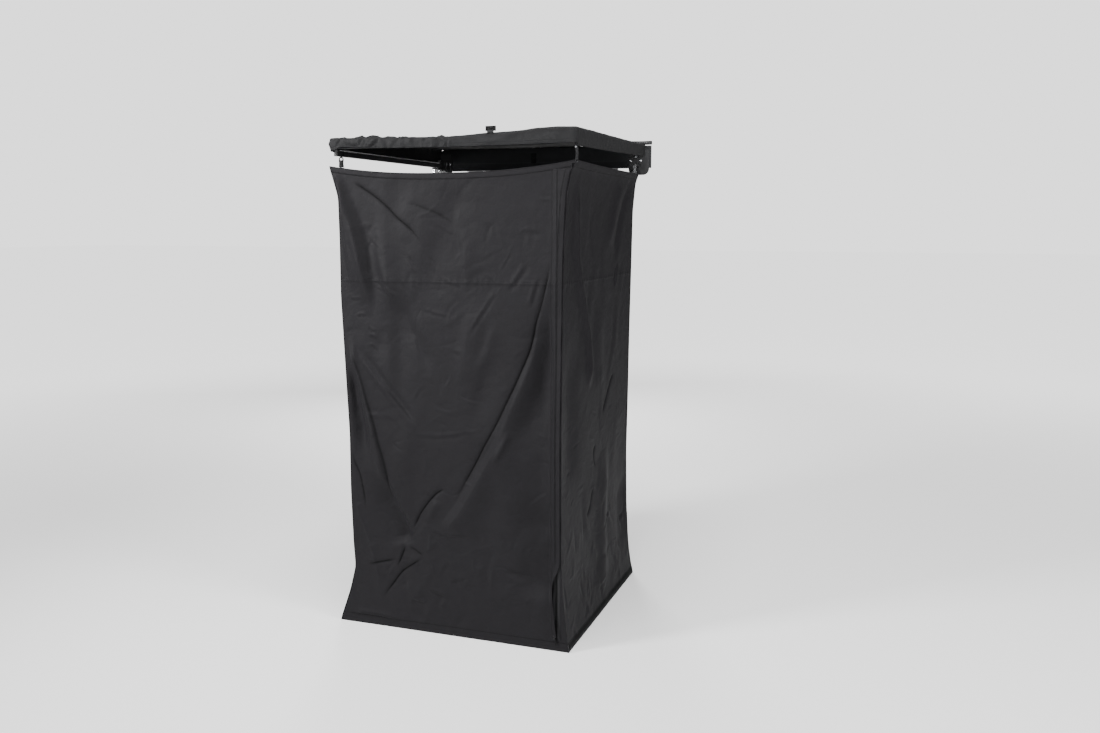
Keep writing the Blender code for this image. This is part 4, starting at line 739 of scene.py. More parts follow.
def stroke_height(across, height, stroke):
    """Rise of one stroke at each point of a sheet."""
    points, width, rise, kind, (start, end) = stroke
    line = smooth_line(points)
    wide, narrow = width if kind == "pleat" else (width, width)
    result = np.zeros_like(across)
    near = near_line(across, height, line, 3.2 * wide)
    if not near.any():
        return result
    best, side, share = nearest_on_line(np.stack([across[near], height[near]], -1), line)
    width = wide + (narrow - wide) * share
    ratio = best / width
    if kind == "pleat":
        flank = np.where(side > 0, np.clip(1 - ratio, 0.0, 1.0), np.exp(-(0.7 * best / wide) ** 2))
        shape = flank * (0.35 + 0.65 * soft_step(width / wide))
    elif kind == "pinch":
        shape = -np.exp(-ratio * 1.4)
    elif kind == "ridge":
        shape = np.exp(-ratio ** 2)
    elif kind == "crease":
        shape = np.exp(-ratio * 1.4)
    elif kind == "lip":
        shape = np.where(side > 0, np.exp(-(1.7 * ratio) ** 2), np.exp(-(0.75 * ratio) ** 2))
    else:
        shape = 1.65 * side * ratio * np.exp(-ratio ** 2)
    result[near] = rise * shape * end_fade(share, start, end)
    return result


# Its mask becomes painted shade: the walls' finish darkens the middle lines of pinch strokes.
def stroke_marks(across, height, strokes, half=0.0042):
    """The middle lines of strokes, as a mask from 0 to 1 that fades over a few millimetres."""
    result = np.zeros_like(across)
    for points, _, rise, _, (start, end) in strokes:
        line = smooth_line(points)
        near = near_line(across, height, line, 0.02)
        if near.any():
            best, _, share = nearest_on_line(np.stack([across[near], height[near]], -1), line)
            mark = np.exp(-(best / half) ** 2) * end_fade(share, start, end) * min(1.0, abs(rise) / 0.006)
            result[near] = np.maximum(result[near], mark)
    return result


def all_strokes(across, height, strokes):
    """The rises of many strokes, added up."""
    total = np.zeros_like(across)
    for stroke in strokes:
        total += stroke_height(across, height, stroke)
    return total


def scattered(seed, count, low, high, lengths, widths, rises, lean=0.0, spread=math.pi):
    """Small random strokes between two corners of a sheet."""
    dice = random.Random(seed)
    strokes = []
    for _ in range(count):
        middle = (dice.uniform(low[0], high[0]), dice.uniform(low[1], high[1]))
        angle = lean + dice.uniform(-spread / 2, spread / 2)
        half = dice.uniform(*lengths) / 2
        bend = dice.uniform(-0.25, 0.25) * half
        way = (math.cos(angle), math.sin(angle))
        points = [(middle[0] - way[0] * half, middle[1] - way[1] * half),
                  (middle[0] - way[1] * bend, middle[1] + way[0] * bend),
                  (middle[0] + way[0] * half, middle[1] + way[1] * half)]
        rise = dice.uniform(*rises) * dice.choice((-1, 1))
        kind = dice.choice(("ridge", "fold", "crease", "lip"))
        strokes.append((points, dice.uniform(*widths), rise, kind, (0.4, 0.4)))
    return strokes


def ridged(across, height, cell, seed):
    """Crinkles between 0 and 1: a smooth random field folded where it crosses its middle."""
    u, v = across / cell + 50.0, height / cell + 50.0
    table = np.random.RandomState(seed).rand(256, 256)
    i, j = np.floor(u).astype(int), np.floor(v).astype(int)
    a, b = soft_step(u - i), soft_step(v - j)
    low = table[i % 256, j % 256] * (1 - a) + table[(i + 1) % 256, j % 256] * a
    high = table[i % 256, (j + 1) % 256] * (1 - a) + table[(i + 1) % 256, (j + 1) % 256] * a
    return np.abs(2 * (low * (1 - b) + high * b) - 1)


def crinkle(across, height, seed):
    """Fine creases of handled cloth, in metres, over three sizes."""
    turned_u = 0.8 * across + 0.6 * height
    turned_v = 0.8 * height - 0.6 * across
    total = 0.0016 * ridged(turned_u, turned_v, 0.090, seed)
    total += 0.0007 * ridged(across, height, 0.043, seed + 1)
    total += 0.0003 * ridged(turned_v, turned_u, 0.022, seed + 2)
    return total - 0.0012


print("strokes ready")

# %% [markdown]
# ## The four walls
# Each wall is a sheet of cloth that hangs from the hooks at its top corners and stands on the
# ground. Its top hem sags between the hooks, its sides pull in at mid height and spread at the
# ground. Every point of a wall follows from a share across it and a height, so the zip, its flap
# and the corner seams can later be laid on the same surface, however it is creased.

# %% Wall shapes
FRONT_Y, BACK_Y = -1.135, -0.105
FRONT_LEFT_LINE = ((2.077, -0.563), (2.012, -0.543), (1.943, -0.523), (1.75, -0.521), (1.51, -0.523),
                   (1.25, -0.513), (0.89, -0.499), (0.63, -0.501), (0.38, -0.495), (0.27, -0.488),
                   (0.15, -0.52), (0.056, -0.555), (0, -0.574))
FRONT_RIGHT_LINE = ((2.083, 0.572), (2.043, 0.551), (1.95, 0.532), (1.73, 0.519), (1.31, 0.512),
                    (0.93, 0.507), (0.53, 0.508), (0.4, 0.508), (0.25, 0.514), (0.12, 0.528), (0, 0.544))
BACK_RIGHT_LINE = ((2.0735, 0.566), (2.03, 0.549), (1.894, 0.536), (1.6, 0.531), (1.29, 0.525),
                   (0.88, 0.52), (0.665, 0.516), (0.4, 0.52), (0.145, 0.533), (0.05, 0.541), (0, 0.552))
BACK_LEFT_LINE = ((2.0735, -0.556), (1.95, -0.538), (1.5, -0.524), (0.9, -0.509), (0.4, -0.503),
                  (0.15, -0.524), (0, -0.562))
FRONT_LEFT_TOP, FRONT_RIGHT_TOP, BACK_TOP = 2.077, 2.083, 2.0735
ZIP_X = 0.487
ZIP_LOW, ZIP_HIGH = 0.050, 1.930


def line_place(line, height):
    """Sideways place of a corner line at each height, softened over four centimetres."""
    heights = [point[0] for point in line][::-1]
    places = [point[1] for point in line][::-1]
    shifts = np.linspace(-0.02, 0.02, 5)
    return sum(np.interp(height + shift, heights, places) for shift in shifts) / len(shifts)


def between_lines(first, second, share, height):
    """Sideways place at a share of the way from one corner line to the next."""
    return line_place(first, height) * (1 - share) + line_place(second, height) * share


def back_place(height):
    """Depth of the back wall: it spreads towards the vehicle over its last 30 centimetres."""
    return BACK_Y + 0.030 * soft_step(1 - height / 0.30) ** 2


def front_point(share, height, rise):
    x = between_lines(FRONT_LEFT_LINE, FRONT_RIGHT_LINE, share, height)
    return x, FRONT_Y - rise, x


def back_point(share, height, rise):
    x = between_lines(BACK_RIGHT_LINE, BACK_LEFT_LINE, share, height)
    return x, back_place(height) + rise, x


def right_point(share, height, rise):
    y = FRONT_Y * (1 - share) + back_place(height) * share
    x = between_lines(FRONT_RIGHT_LINE, BACK_RIGHT_LINE, share, height)
    return x + rise, y, y


def left_point(share, height, rise):
    y = back_place(height) * (1 - share) + FRONT_Y * share
    x = between_lines(BACK_LEFT_LINE, FRONT_LEFT_LINE, share, height)
    return x - rise, y, y


class Wall:
    """One hanging wall: its corner lines, its hem, its folds, and the surface they make."""

    def __init__(self, place, tops, sag, strokes, seed, slack=1.0):
        self.place, self.tops, self.sag, self.seed = place, tops, sag, seed
        ends = np.array([0.0, 1.0])
        _, _, along = place(ends, np.array([1.0, 1.0]), 0.0)
        low, high = min(along), max(along)
        self.wide = high - low
        # Fine crumples all over, then heavy ones near the ground, long upright pulls, and short
        # flat ones on the lower half.
        small = scattered(seed, 170, (low, 0.05), (high, 1.98), (0.05, 0.22), (0.006, 0.016),
                          (0.0005 * slack, 0.0018 * slack))
        small += scattered(seed + 1, 56, (low, 0.02), (high, 0.50), (0.06, 0.22), (0.010, 0.022),
                           (0.0015, 0.0045))
        small += scattered(seed + 2, 26, (low, 0.3), (high, 1.9), (0.3, 0.8), (0.03, 0.08),
                           (0.004 * slack, 0.010 * slack), math.pi / 2, 0.7)
        small += scattered(seed + 3, 90, (low, 0.06), (high, 1.0), (0.03, 0.12), (0.004, 0.008),
                           (0.0008, 0.0022), 0.0, 1.2)
        self.strokes = strokes + small

    def top(self, share):
        """Top hem between two hooks: steep near a hook and flat in the middle."""
        hang = 1 - np.abs(2 * share - 1) ** 2.4
        return self.tops[0] * (1 - share) + self.tops[1] * share - self.sag * hang

    def rise(self, share, height, along):
        """How far the cloth stands out from the plane between its corner lines."""
        rise = all_strokes(along, height, self.strokes) + crinkle(along, height, self.seed)
        from_seam = height - SEAM_HEIGHT
        pucker = np.sin(along * 173 + 1.7 * np.sin(along * 41)) * np.exp(-np.abs(from_seam) / 0.016)
        rise += 0.0009 * pucker + 0.0016 * np.exp(-(from_seam / 0.006) ** 2)
        keep = soft_step(np.minimum(share, 1 - share) * self.wide / 0.035)
        keep *= 0.25 + 0.75 * soft_step((self.top(share) - height) / 0.05)
        keep *= 0.20 + 0.80 * soft_step(height / 0.07)
        if self.place is front_point:
            keep *= 0.25 + 0.75 * soft_step((np.abs(along - ZIP_X) - 0.012) / 0.03)
        hems = 2 * soft_step((HEM_TALL + 0.001 - height) / 0.003)
        hems = np.maximum(hems, soft_step((TOP_HEM_TALL + 0.001 - self.top(share) + height) / 0.002))
        return rise * keep + 0.0007 * hems

    def painted_shade_marks(self, along, height):
        """Painted shade: dark where light can't reach into sharp creases, and along the right wall's bottom
        hem.
        """
        marks = stroke_marks(along, height, [entry for entry in self.strokes if entry[3] == "pinch"])
        # Painted shade along the right wall's bottom hem band, half as strong at the very edge.
        rolled = 0.8 * soft_step((0.040 - height) / 0.008) * (1 - 0.5 * soft_step((0.014 - height) / 0.006))
        return np.maximum(marks, rolled * (self.place is right_point))

    def surface(self, share, height, lift=0.0):
        """Points on the cloth, lifted off it where wanted, and the distance along the wall."""
        _, _, along = self.place(share, height, 0.0)
        x, y, _ = self.place(share, height, self.rise(share, height, along) + lift)
        return np.stack([x, y, height + GROUND], -1), along


print("walls: front", FRONT_LEFT_TOP, "to", FRONT_RIGHT_TOP, "m high at the hooks")

# %% [markdown]
# The long folds of each wall follow. On the front wall, one fold runs from the top right hook
# down to the left, and the cloth to its right lies back. Sharp creases fan out from the top left
# hook. On the right wall, a fold leaves the top front hook and fades towards the back. The left
# and back walls have folds of the same kinds, since the same cloth hangs from the same hooks.

# %% Long folds
def strokes_from(rows):
    """Strokes from rows in millimetres: kind, width, rise, two fades, then x and height in turn."""
    made = []
    for kind, width, rise, start, end, *places in rows:
        points = [(x / 1000, height / 1000) for x, height in zip(places[::2], places[1::2])]
        width = tuple(value / 1000 for value in width) if kind == "pleat" else width / 1000
        made.append((points, width, rise / 1000, kind, (start, end)))
    return made


FRONT_STROKES = strokes_from((
    ("pleat", (46, 6), 22, 0.06, 0.1, -40, 454, 0, 517, 54, 595, 117, 700, 175, 803, 217, 876, 255, 975,
     301, 1086, 338, 1169, 365, 1238, 383, 1298, 396, 1358, 407, 1425, 427, 1496, 449, 1579, 469, 1673),
    ("pinch", 10, 6, 0.08, 0.15, 462, 1673, 440, 1578, 418, 1496, 394, 1424, 378, 1357, 361, 1297, 336,
     1237, 306, 1168, 265, 1084, 209, 972, 152, 871, 114, 798, 56, 695, 6, 600),
    ("lip", 40, 44, 0.1, 0.4, -546, 2051, -514, 1965, -481, 1895, -449, 1818, -427, 1731, -410, 1635, -393,
     1539, -387, 1407),
    ("ridge", 20, 10, 0.2, 0.4, -524, 1947, -502, 1861, -481, 1757, -464, 1643, -454, 1494),
    ("pinch", 12, 6, 0.1, 0.25, -448, 2007, -366, 1958, -294, 1907, -239, 1854, -177, 1808, -107, 1734),
    ("pinch", 12, 3.5, 0.3, 0.3, -203, 1915, -159, 1910, -104, 1892, -50, 1871, 11, 1836, 39, 1822),
    ("fold", 10, -3.5, 0.3, 0.3, -194, 1690, -175, 1660, -147, 1622),
    ("fold", 10, -2.5, 0.3, 0.3, -99, 1683, -80, 1662, -53, 1632),
    ("fold", 10, -3, 0.3, 0.3, -303, 1572, -275, 1546, -246, 1517),
    ("fold", 10, -2.5, 0.3, 0.3, -230, 1569, -207, 1544, -188, 1514),
    ("fold", 9, -2, 0.3, 0.3, -178, 1557, -159, 1545, -140, 1524),
    ("ridge", 32, -10, 0.3, 0.3, -280, 1533, -219, 1435, -173, 1349, -126, 1263, -95, 1155),
    ("fold", 9, 1.8, 0.3, 0.3, -136, 1463, -75, 1448, 5, 1429),
    ("fold", 8, 2.2, 0.3, 0.3, -479, 1502, -449, 1499, -419, 1504),
    ("fold", 8, 2.2, 0.3, 0.3, -451, 1423, -421, 1429, -396, 1427),
    ("fold", 8, 3, 0.3, 0.3, -388, 1381, -373, 1364, -354, 1356),
    ("fold", 8, 3, 0.3, 0.3, -394, 1341, -374, 1337, -350, 1320),
    ("fold", 8, 3, 0.3, 0.3, -390, 1296, -370, 1293, -356, 1271),
    ("fold", 18, -7, 0.2, 0.3, -453, 1279, -380, 1193, -300, 1100, -187, 972, -148, 930),
    ("pinch", 14, 3, 0.3, 0.3, -320, 1116, -253, 1044, -167, 951),
    ("lip", 28, 20, 0.2, 0.2, -479, 1338, -463, 1226, -431, 1115, -402, 981, -372, 868, -341, 742, -323,
     633),
    ("pinch", 8, 4.5, 0.15, 0.15, -486, 1293, -453, 1204, -428, 1130, -401, 1026, -380, 959, -353, 855,
     -321, 735, -311, 620, -289, 581),
    ("ridge", 36, -26, 0.3, 0.4, -487, 1247, -472, 1113, -450, 1000, -433, 864, -412, 727),
    ("lip", 55, -26, 0.45, 0.15, -356, 750, -318, 634, -280, 540, -242, 465, -214, 393),
    ("pinch", 12, 5, 0.3, 0.3, -493, 823, -478, 759, -454, 701, -436, 609, -428, 530),
    ("pinch", 10, 9, 0.15, 0.2, -26, 677, -72, 650, -113, 608, -155, 551, -181, 502, -198, 465),
    ("ridge", 20, 7, 0.3, 0.3, -56, 621, -96, 567, -117, 501),
    ("pinch", 9, 7, 0.3, 0.3, -234, 396, -255, 342, -278, 287),
    ("pinch", 9, 6, 0.3, 0.3, -430, 286, -353, 305, -276, 325),
    ("pinch", 8, 4.5, 0.3, 0.3, -219, 390, -179, 374, -140, 350),
    ("pinch", 10, 8, 0.2, 0.3, -140, 350, -200, 308, -253, 268, -306, 199, -359, 129),
    ("ridge", 20, 5, 0.3, 0.3, -215, 342, -190, 331, -160, 325),
    ("ridge", 30, 8, 0.3, 0.3, -243, 216, -193, 189, -143, 167),
    ("fold", 16, 10, 0.2, 0.3, -527, 45, -448, 44, -361, 43, -268, 32, -197, 18),
    ("fold", 9, 5, 0.3, 0.3, -206, 148, -169, 140, -129, 138),
    ("fold", 14, -4.5, 0.3, 0.3, 362, 1672, 304, 1588, 259, 1550),
    ("fold", 12, -4.5, 0.3, 0.3, 410, 1615, 383, 1532, 366, 1473),
    ("fold", 11, -3, 0.2, 0.3, 223, 1553, 149, 1442, 88, 1346),
    ("fold", 12, 2.8, 0.3, 0.3, -187, 900, -27, 907, 101, 938),
    ("ridge", 14, 8, 0.3, 0.3, 278, 959, 245, 883, 203, 805),
    ("lip", 110, -30, 0.3, 0.2, 453, 669, 458, 472, 449, 203),
    ("ridge", 60, -20, 0.3, 0.25, 470, 1550, 425, 1250, 360, 1020, 260, 820),
    ("ridge", 85, -26, 0.3, 0.2, 520, 1620, 455, 1250, 410, 850, 380, 420),
    ("fold", 30, 6, 0.4, 0.4, 200, 1450, 170, 1320, 120, 1180),
    ("ridge", 60, -10, 0.3, 0.4, 20, 2020, 40, 1850, 20, 1620),
    ("ridge", 30, 10, 0.3, 0.3, -545, 1200, -520, 900, -515, 500),
    ("lip", 22, 10, 0.1, 0.3, 556, 2050, 510, 1850, 478, 1700),
))
RIGHT_STROKES = strokes_from((
    ("lip", 30, 20, 0.1, 0.3, -751, 1084, -802, 1317, -878, 1470, -952, 1620, -981, 1689, -1003, 1831,
     -1026, 2067),
    ("pinch", 10, 6, 0.1, 0.3, -1012, 2007, -982, 1831, -960, 1688, -938, 1620, -849, 1467, -771, 1314,
     -728, 1080),
    ("pinch", 10, 8, 0.15, 0.2, -367, 1116, -436, 1058, -487, 998, -553, 928),
    ("pinch", 10, 7, 0.15, 0.2, -650, 813, -676, 767, -647, 703),
    ("pinch", 10, 7, 0.15, 0.2, -678, 615, -729, 528, -786, 497),
    ("ridge", 70, 20, 0.3, 0.2, -481, 797, -542, 516, -568, 225, -648, 54),
    ("ridge", 50, 14, 0.2, 0.4, -345, 2033, -445, 1867, -557, 1671),
    ("ridge", 35, -12, 0.2, 0.3, -180, 2039, -303, 1868, -420, 1647),
    ("fold", 14, 8, 0.3, 0.3, -349, 1644, -383, 1584, -398, 1522),
    ("ridge", 90, -18, 0.3, 0.3, -1005, 1382, -1000, 993, -1010, 642),
    ("ridge", 80, -16, 0.3, 0.3, -197, 581, -206, 320, -218, 110),
    ("ridge", 60, 10, 0.3, 0.3, -600, 1500, -620, 1250, -550, 1000),
))
BACK_STROKES = strokes_from((
    ("lip", 30, 12, 0.1, 0.4, 540, 2050, 300, 1800, 50, 1450),
    ("ridge", 30, -10, 0.1, 0.4, 530, 2000, 450, 1600, 400, 1100),
    ("lip", 25, 11, 0.1, 0.4, -540, 2050, -330, 1820, -100, 1600),
    ("ridge", 50, 14, 0.3, 0.3, -500, 1900, -420, 1400, -360, 800, -300, 300),
    ("ridge", 60, 14, 0.4, 0.3, 100, 1300, 50, 800, 120, 200),
    ("ridge", 45, -12, 0.4, 0.3, 300, 1000, 330, 600, 280, 150),
    ("fold", 30, 10, 0.3, 0.3, -150, 700, -100, 400, -160, 100),
))
LEFT_STROKES = strokes_from((
    ("lip", 28, 12, 0.1, 0.4, -1120, 2050, -950, 1780, -780, 1500),
    ("lip", 28, 11, 0.1, 0.4, -130, 2050, -300, 1800, -520, 1600),
    ("ridge", 50, -12, 0.3, 0.3, -1050, 1600, -1000, 1100, -950, 500),
    ("ridge", 60, 14, 0.4, 0.3, -620, 1400, -580, 900, -640, 300),
    ("fold", 45, 12, 0.4, 0.3, -300, 1200, -340, 700, -300, 200),
    ("fold", 30, 9, 0.3, 0.3, -800, 600, -860, 350, -840, 80),
))
print("long folds:", len(FRONT_STROKES), "front,", len(RIGHT_STROKES), "right")

# %% Hang the walls
def hang_wall(name, wall, cells):
    """The cloth of one wall, with its distance from the top hem kept for the stitches."""
    def place(u, v):
        height = wall.top(u) * v
        points, along = wall.surface(u, height)
        extras = {"from_top": wall.top(u) - height, "pinch": wall.painted_shade_marks(along, height)}
        return points, np.stack([along, height], -1), extras

    piece = grid_piece(name, cells, place, WALL_CLOTH)
    print(name, "faces:", len(piece.data.polygons))
    return piece


def seam_piping(name, wall, share):
    """A corner seam: the two cloths are sewn around a thin cord that shows as a rounded edge."""
    heights = np.linspace(0.0, float(wall.top(np.array(share))) - 0.001, 200)
    points, _ = wall.surface(np.full(200, float(share)), heights)
    return tube_piece(name, points, 0.0016, WALL_CLOTH, 6)


FRONT_WALL = Wall(front_point, (FRONT_LEFT_TOP, FRONT_RIGHT_TOP), 0.040, FRONT_STROKES, 11)
RIGHT_WALL = Wall(right_point, (FRONT_RIGHT_TOP, BACK_TOP), 0.004, RIGHT_STROKES, 23, 0.4)
BACK_WALL = Wall(back_point, (BACK_TOP, BACK_TOP), 0.028, BACK_STROKES, 37)
LEFT_WALL = Wall(left_point, (BACK_TOP, FRONT_LEFT_TOP), 0.014, LEFT_STROKES, 51)
wall_front = hang_wall("wall_front", FRONT_WALL, (246, 404))
wall_right = hang_wall("wall_right", RIGHT_WALL, (200, 380))
wall_back = hang_wall("wall_back", BACK_WALL, (130, 240))
wall_left = hang_wall("wall_left", LEFT_WALL, (124, 240))
seams = [seam_piping("seam_front_left", FRONT_WALL, 0.0), seam_piping("seam_front_right", FRONT_WALL, 1.0),
         seam_piping("seam_back_right", BACK_WALL, 0.0), seam_piping("seam_back_left", BACK_WALL, 1.0)]

# %% [markdown]
# ## The door zip and its flap
# One wall opens with a long zip beside the front right corner. A zip is two woven tapes with a
# coil of teeth on each, so a small tooth is repeated in two rows. A storm flap, sewn on one side
# only, covers the zip against water. Its lower end is turned back, as it often is after use.

# %% Zip and flap
TOOTH_PITCH = 0.0030
TAPE_WIDE = 0.030
FLAP_BACK = 0.052
FLAP_PAST_ZIP = 0.020
FLAP_LOW = 0.065
TURNED_TOP, TURNED_FADE, TURNED_BACK = 0.400, 0.12, 0.040


def front_share(x, height):
    """Share across the front wall of a place given by its x."""
    left, right = line_place(FRONT_LEFT_LINE, height), line_place(FRONT_RIGHT_LINE, height)
    return (x - left) / (right - left)


def build_zip_tape():
    """Both woven tapes of the zip, laid on the front wall."""
    def place(u, v):
        height = ZIP_LOW + v * (ZIP_HIGH - ZIP_LOW)
        x = ZIP_X + (u - 0.5) * TAPE_WIDE
        points, _ = FRONT_WALL.surface(front_share(x, height), height, 0.0002)
        return points, np.stack([x - ZIP_X, height], -1), {}

    return grid_piece("zip_tape", (6, 300), place, ZIP_WEBBING)


def build_zip_teeth():
    """Two rows of coil teeth, each a small block, set half a pitch apart."""
    rows = int((ZIP_HIGH - ZIP_LOW) / TOOTH_PITCH)
    corners = np.array([(x, y, z) for x in (-1, 1) for y in (-1, 1) for z in (-1, 1)], float)
    block = [(0, 1, 3, 2), (4, 6, 7, 5), (0, 4, 5, 1), (2, 3, 7, 6), (0, 2, 6, 4), (1, 5, 7, 3)]
    height = ZIP_LOW + TOOTH_PITCH * (np.arange(rows) + 0.5)
    points, faces = [], []
    for side in (-1, 1):
        places = height + side * TOOTH_PITCH / 4
        middle, _ = FRONT_WALL.surface(front_share(np.full(rows, ZIP_X), places), places, 0.0008)
        for spot in middle:
            start = len(points) * 8
            size = np.array([0.0024, 0.0009, 0.0009])
            points.append(spot + np.array([side * 0.0017, 0.0, 0.0]) + corners * size)
            faces.extend(tuple(start + corner for corner in face) for face in block)
    mesh = bpy.data.meshes.new("zip_teeth")
    mesh.from_pydata(np.concatenate(points).tolist(), [], faces)
    mesh.materials.append(NYLON_TRIM)
    mesh.update()
    return linked(bpy.data.objects.new("zip_teeth", mesh))


def build_flap():
    """The storm flap: its free edge is near the corner, but turned back over its lowest part."""
    def place(u, v):
        height = FLAP_LOW + v * (float(FRONT_WALL.top(np.array(0.96))) - 0.028 - FLAP_LOW)
        sewn = np.minimum(line_place(FRONT_RIGHT_LINE, height) - FLAP_BACK, ZIP_X - FLAP_PAST_ZIP)
        turned = soft_step((TURNED_TOP - height) / TURNED_FADE)
        free = line_place(FRONT_RIGHT_LINE, height) - 0.004 - TURNED_BACK * turned
        x = sewn * (1 - u) + free * u
        wave = 0.0016 * np.sin(height * 31) * np.sin(height * 7.3 + 1)
        lift = 0.0008 + soft_step(u * 2.0) * (0.0026 + wave * u + 0.012 * turned * u)
        points, _ = FRONT_WALL.surface(front_share(x, height), height, lift)
        reach = u * (free - sewn)
        from_edge = np.minimum(reach, free - sewn - reach) + 0.003
        return points, np.stack([reach, height], -1), {"from_top": from_edge}

    return grid_piece("zip_flap", (12, 360), place, WALL_CLOTH, 0.0006)


def build_zip_slider():
    """Moulded slider body with a hanging pull and its loop."""
    low, high = ZIP_LOW - 0.004 + GROUND, ZIP_LOW + 0.008 + GROUND
    front = FRONT_Y - 0.0028
    body = (0.0055, -0.0045, 0.0, low, high)
    bridge = (0.0012, -0.0068, -0.0042, low + 0.002, high - 0.002)
    pull = (0.0032, -0.0064, -0.0050, low - 0.018, low + 0.005)
    parts = [((ZIP_X - half, front + outer, bottom), (ZIP_X + half, front + inner, top))
             for half, outer, inner, bottom, top in (body, bridge, pull)]
    return moulded("zip_slider_shown", parts, NYLON_TRIM, 0.0006)


ZIP_WEBBING = webbing_finish("zip_tape_cloth", (0.010, 0.010, 0.011), TAPE_WIDE, 0.0009)
zip_tape = build_zip_tape()
zip_teeth = build_zip_teeth()
zip_flap = build_flap()
zip_slider_shown = build_zip_slider()
print("zip teeth:", len(zip_teeth.data.polygons) // 6)

# %% [markdown]
# ## The roof cover
# The roof is one panel whose rim turns down into a skirt on three sides. A grid makes the top,
# and its rim is extruded outwards and down in short steps, so that the edge is round and the
# skirt can wave. The left half lies loose and crumpled, and the right half is drawn tight by the
# corner of the frame. The back edge is sewn around a keder, the round cord that holds it in the
# rail.

# %% Roof cover
ROOF_LEFT, ROOF_RIGHT, ROOF_FRONT, ROOF_BACK = -0.551, 0.578, -1.150, -0.0175
RIM_RADIUS = 0.010
RIM_STEPS = 5
SKIRT_STEPS = 13
SKIRT_SHARES = (0.0, 0.05, 0.25, 0.5, 0.75, 1.0)
SKIRT_FRONT = (2.138, 2.157, 2.146, 2.145, 2.147, 2.150)
SKIRT_RIGHT = (2.136, 2.147, 2.162)
SKIRT_LEFT = (2.138, 2.141, 2.143)


def roof_height(x, y):
    """Top of the roof sheet above the ground, before its wrinkles."""
    share = (x - ROOF_LEFT) / (ROOF_RIGHT - ROOF_LEFT)
    front = np.interp(share, (0.0, 0.5, 0.72, 0.92, 1.0), (2.196, 2.188, 2.200, 2.214, 2.212))
    deep = np.clip((y - ROOF_BACK) / (ROOF_FRONT - ROOF_BACK), 0.0, 1.0)
    return 2.2195 * (1 - deep) + front * deep


def roof_wrinkles(x, y):
    """Loose crumples over the left half and long shallow pulls over the rest."""
    low, high = ROOF_LEFT, ROOF_RIGHT
    loose = scattered(5, 150, (low, ROOF_FRONT), (0.05, ROOF_BACK), (0.05, 0.22), (0.010, 0.022),
                      (0.001, 0.004))
    loose += scattered(6, 150, (low - 0.06, ROOF_FRONT - 0.08), (0.02, ROOF_FRONT + 0.10), (0.03, 0.12),
                       (0.006, 0.013), (0.0030, 0.0085), 0.9, 2.6)
    loose += scattered(7, 40, (0.0, ROOF_FRONT), (high, ROOF_BACK), (0.10, 0.35), (0.015, 0.03),
                       (0.0006, 0.0020))
    loose += scattered(8, 30, (0.0, ROOF_FRONT - 0.07), (high, ROOF_FRONT), (0.06, 0.25), (0.010, 0.02),
                       (0.0006, 0.0020), 0.0, 0.5)
    slack = 0.35 + 0.65 * soft_step((0.10 - x) / 0.25)
    return all_strokes(x, y, loose) + 1.3 * slack * crinkle(x, y, 71)


def build_roof_cover():
    """The roof's mesh before it is shaped, and what each of its points needs for that."""
    maker = bmesh.new()
    bmesh.ops.create_grid(maker, x_segments=170, y_segments=170, size=0.5)
    layers = {title: maker.verts.layers.float.new(title) for title in ("x", "y", "out_x", "out_y", "step")}
    for vert in maker.verts:
        across, deep = vert.co.x + 0.5, 0.5 - vert.co.y
        x = ROOF_LEFT + RIM_RADIUS + across * (ROOF_RIGHT - ROOF_LEFT - 2 * RIM_RADIUS)
        y = ROOF_BACK + deep * (ROOF_FRONT + RIM_RADIUS - ROOF_BACK)
        sideways = -1.0 if across < 1e-4 else 1.0 if across > 0.9999 else 0.0
        out = Vector((sideways, -1.0 if deep > 0.9999 else 0.0))
        if out.length > 0:
            out.normalize()
        for title, value in zip(layers, (x, y, out.x, out.y, 0.0)):
            vert[layers[title]] = value
    rim = [edge for edge in maker.edges
           if edge.is_boundary and not all(abs(vert.co.y - 0.5) < 1e-4 for vert in edge.verts)]
    for step in range(1, SKIRT_STEPS + 1):
        made = bmesh.ops.extrude_edge_only(maker, edges=rim)["geom"]
        rim = [item for item in made if isinstance(item, bmesh.types.BMEdge)]
        for item in made:
            if isinstance(item, bmesh.types.BMVert):
                item[layers["step"]] = step
    values = np.array([[vert[layers[title]] for title in layers] for vert in maker.verts])
    return new_mesh("roof_cover", maker, ROOF_CANVAS), values


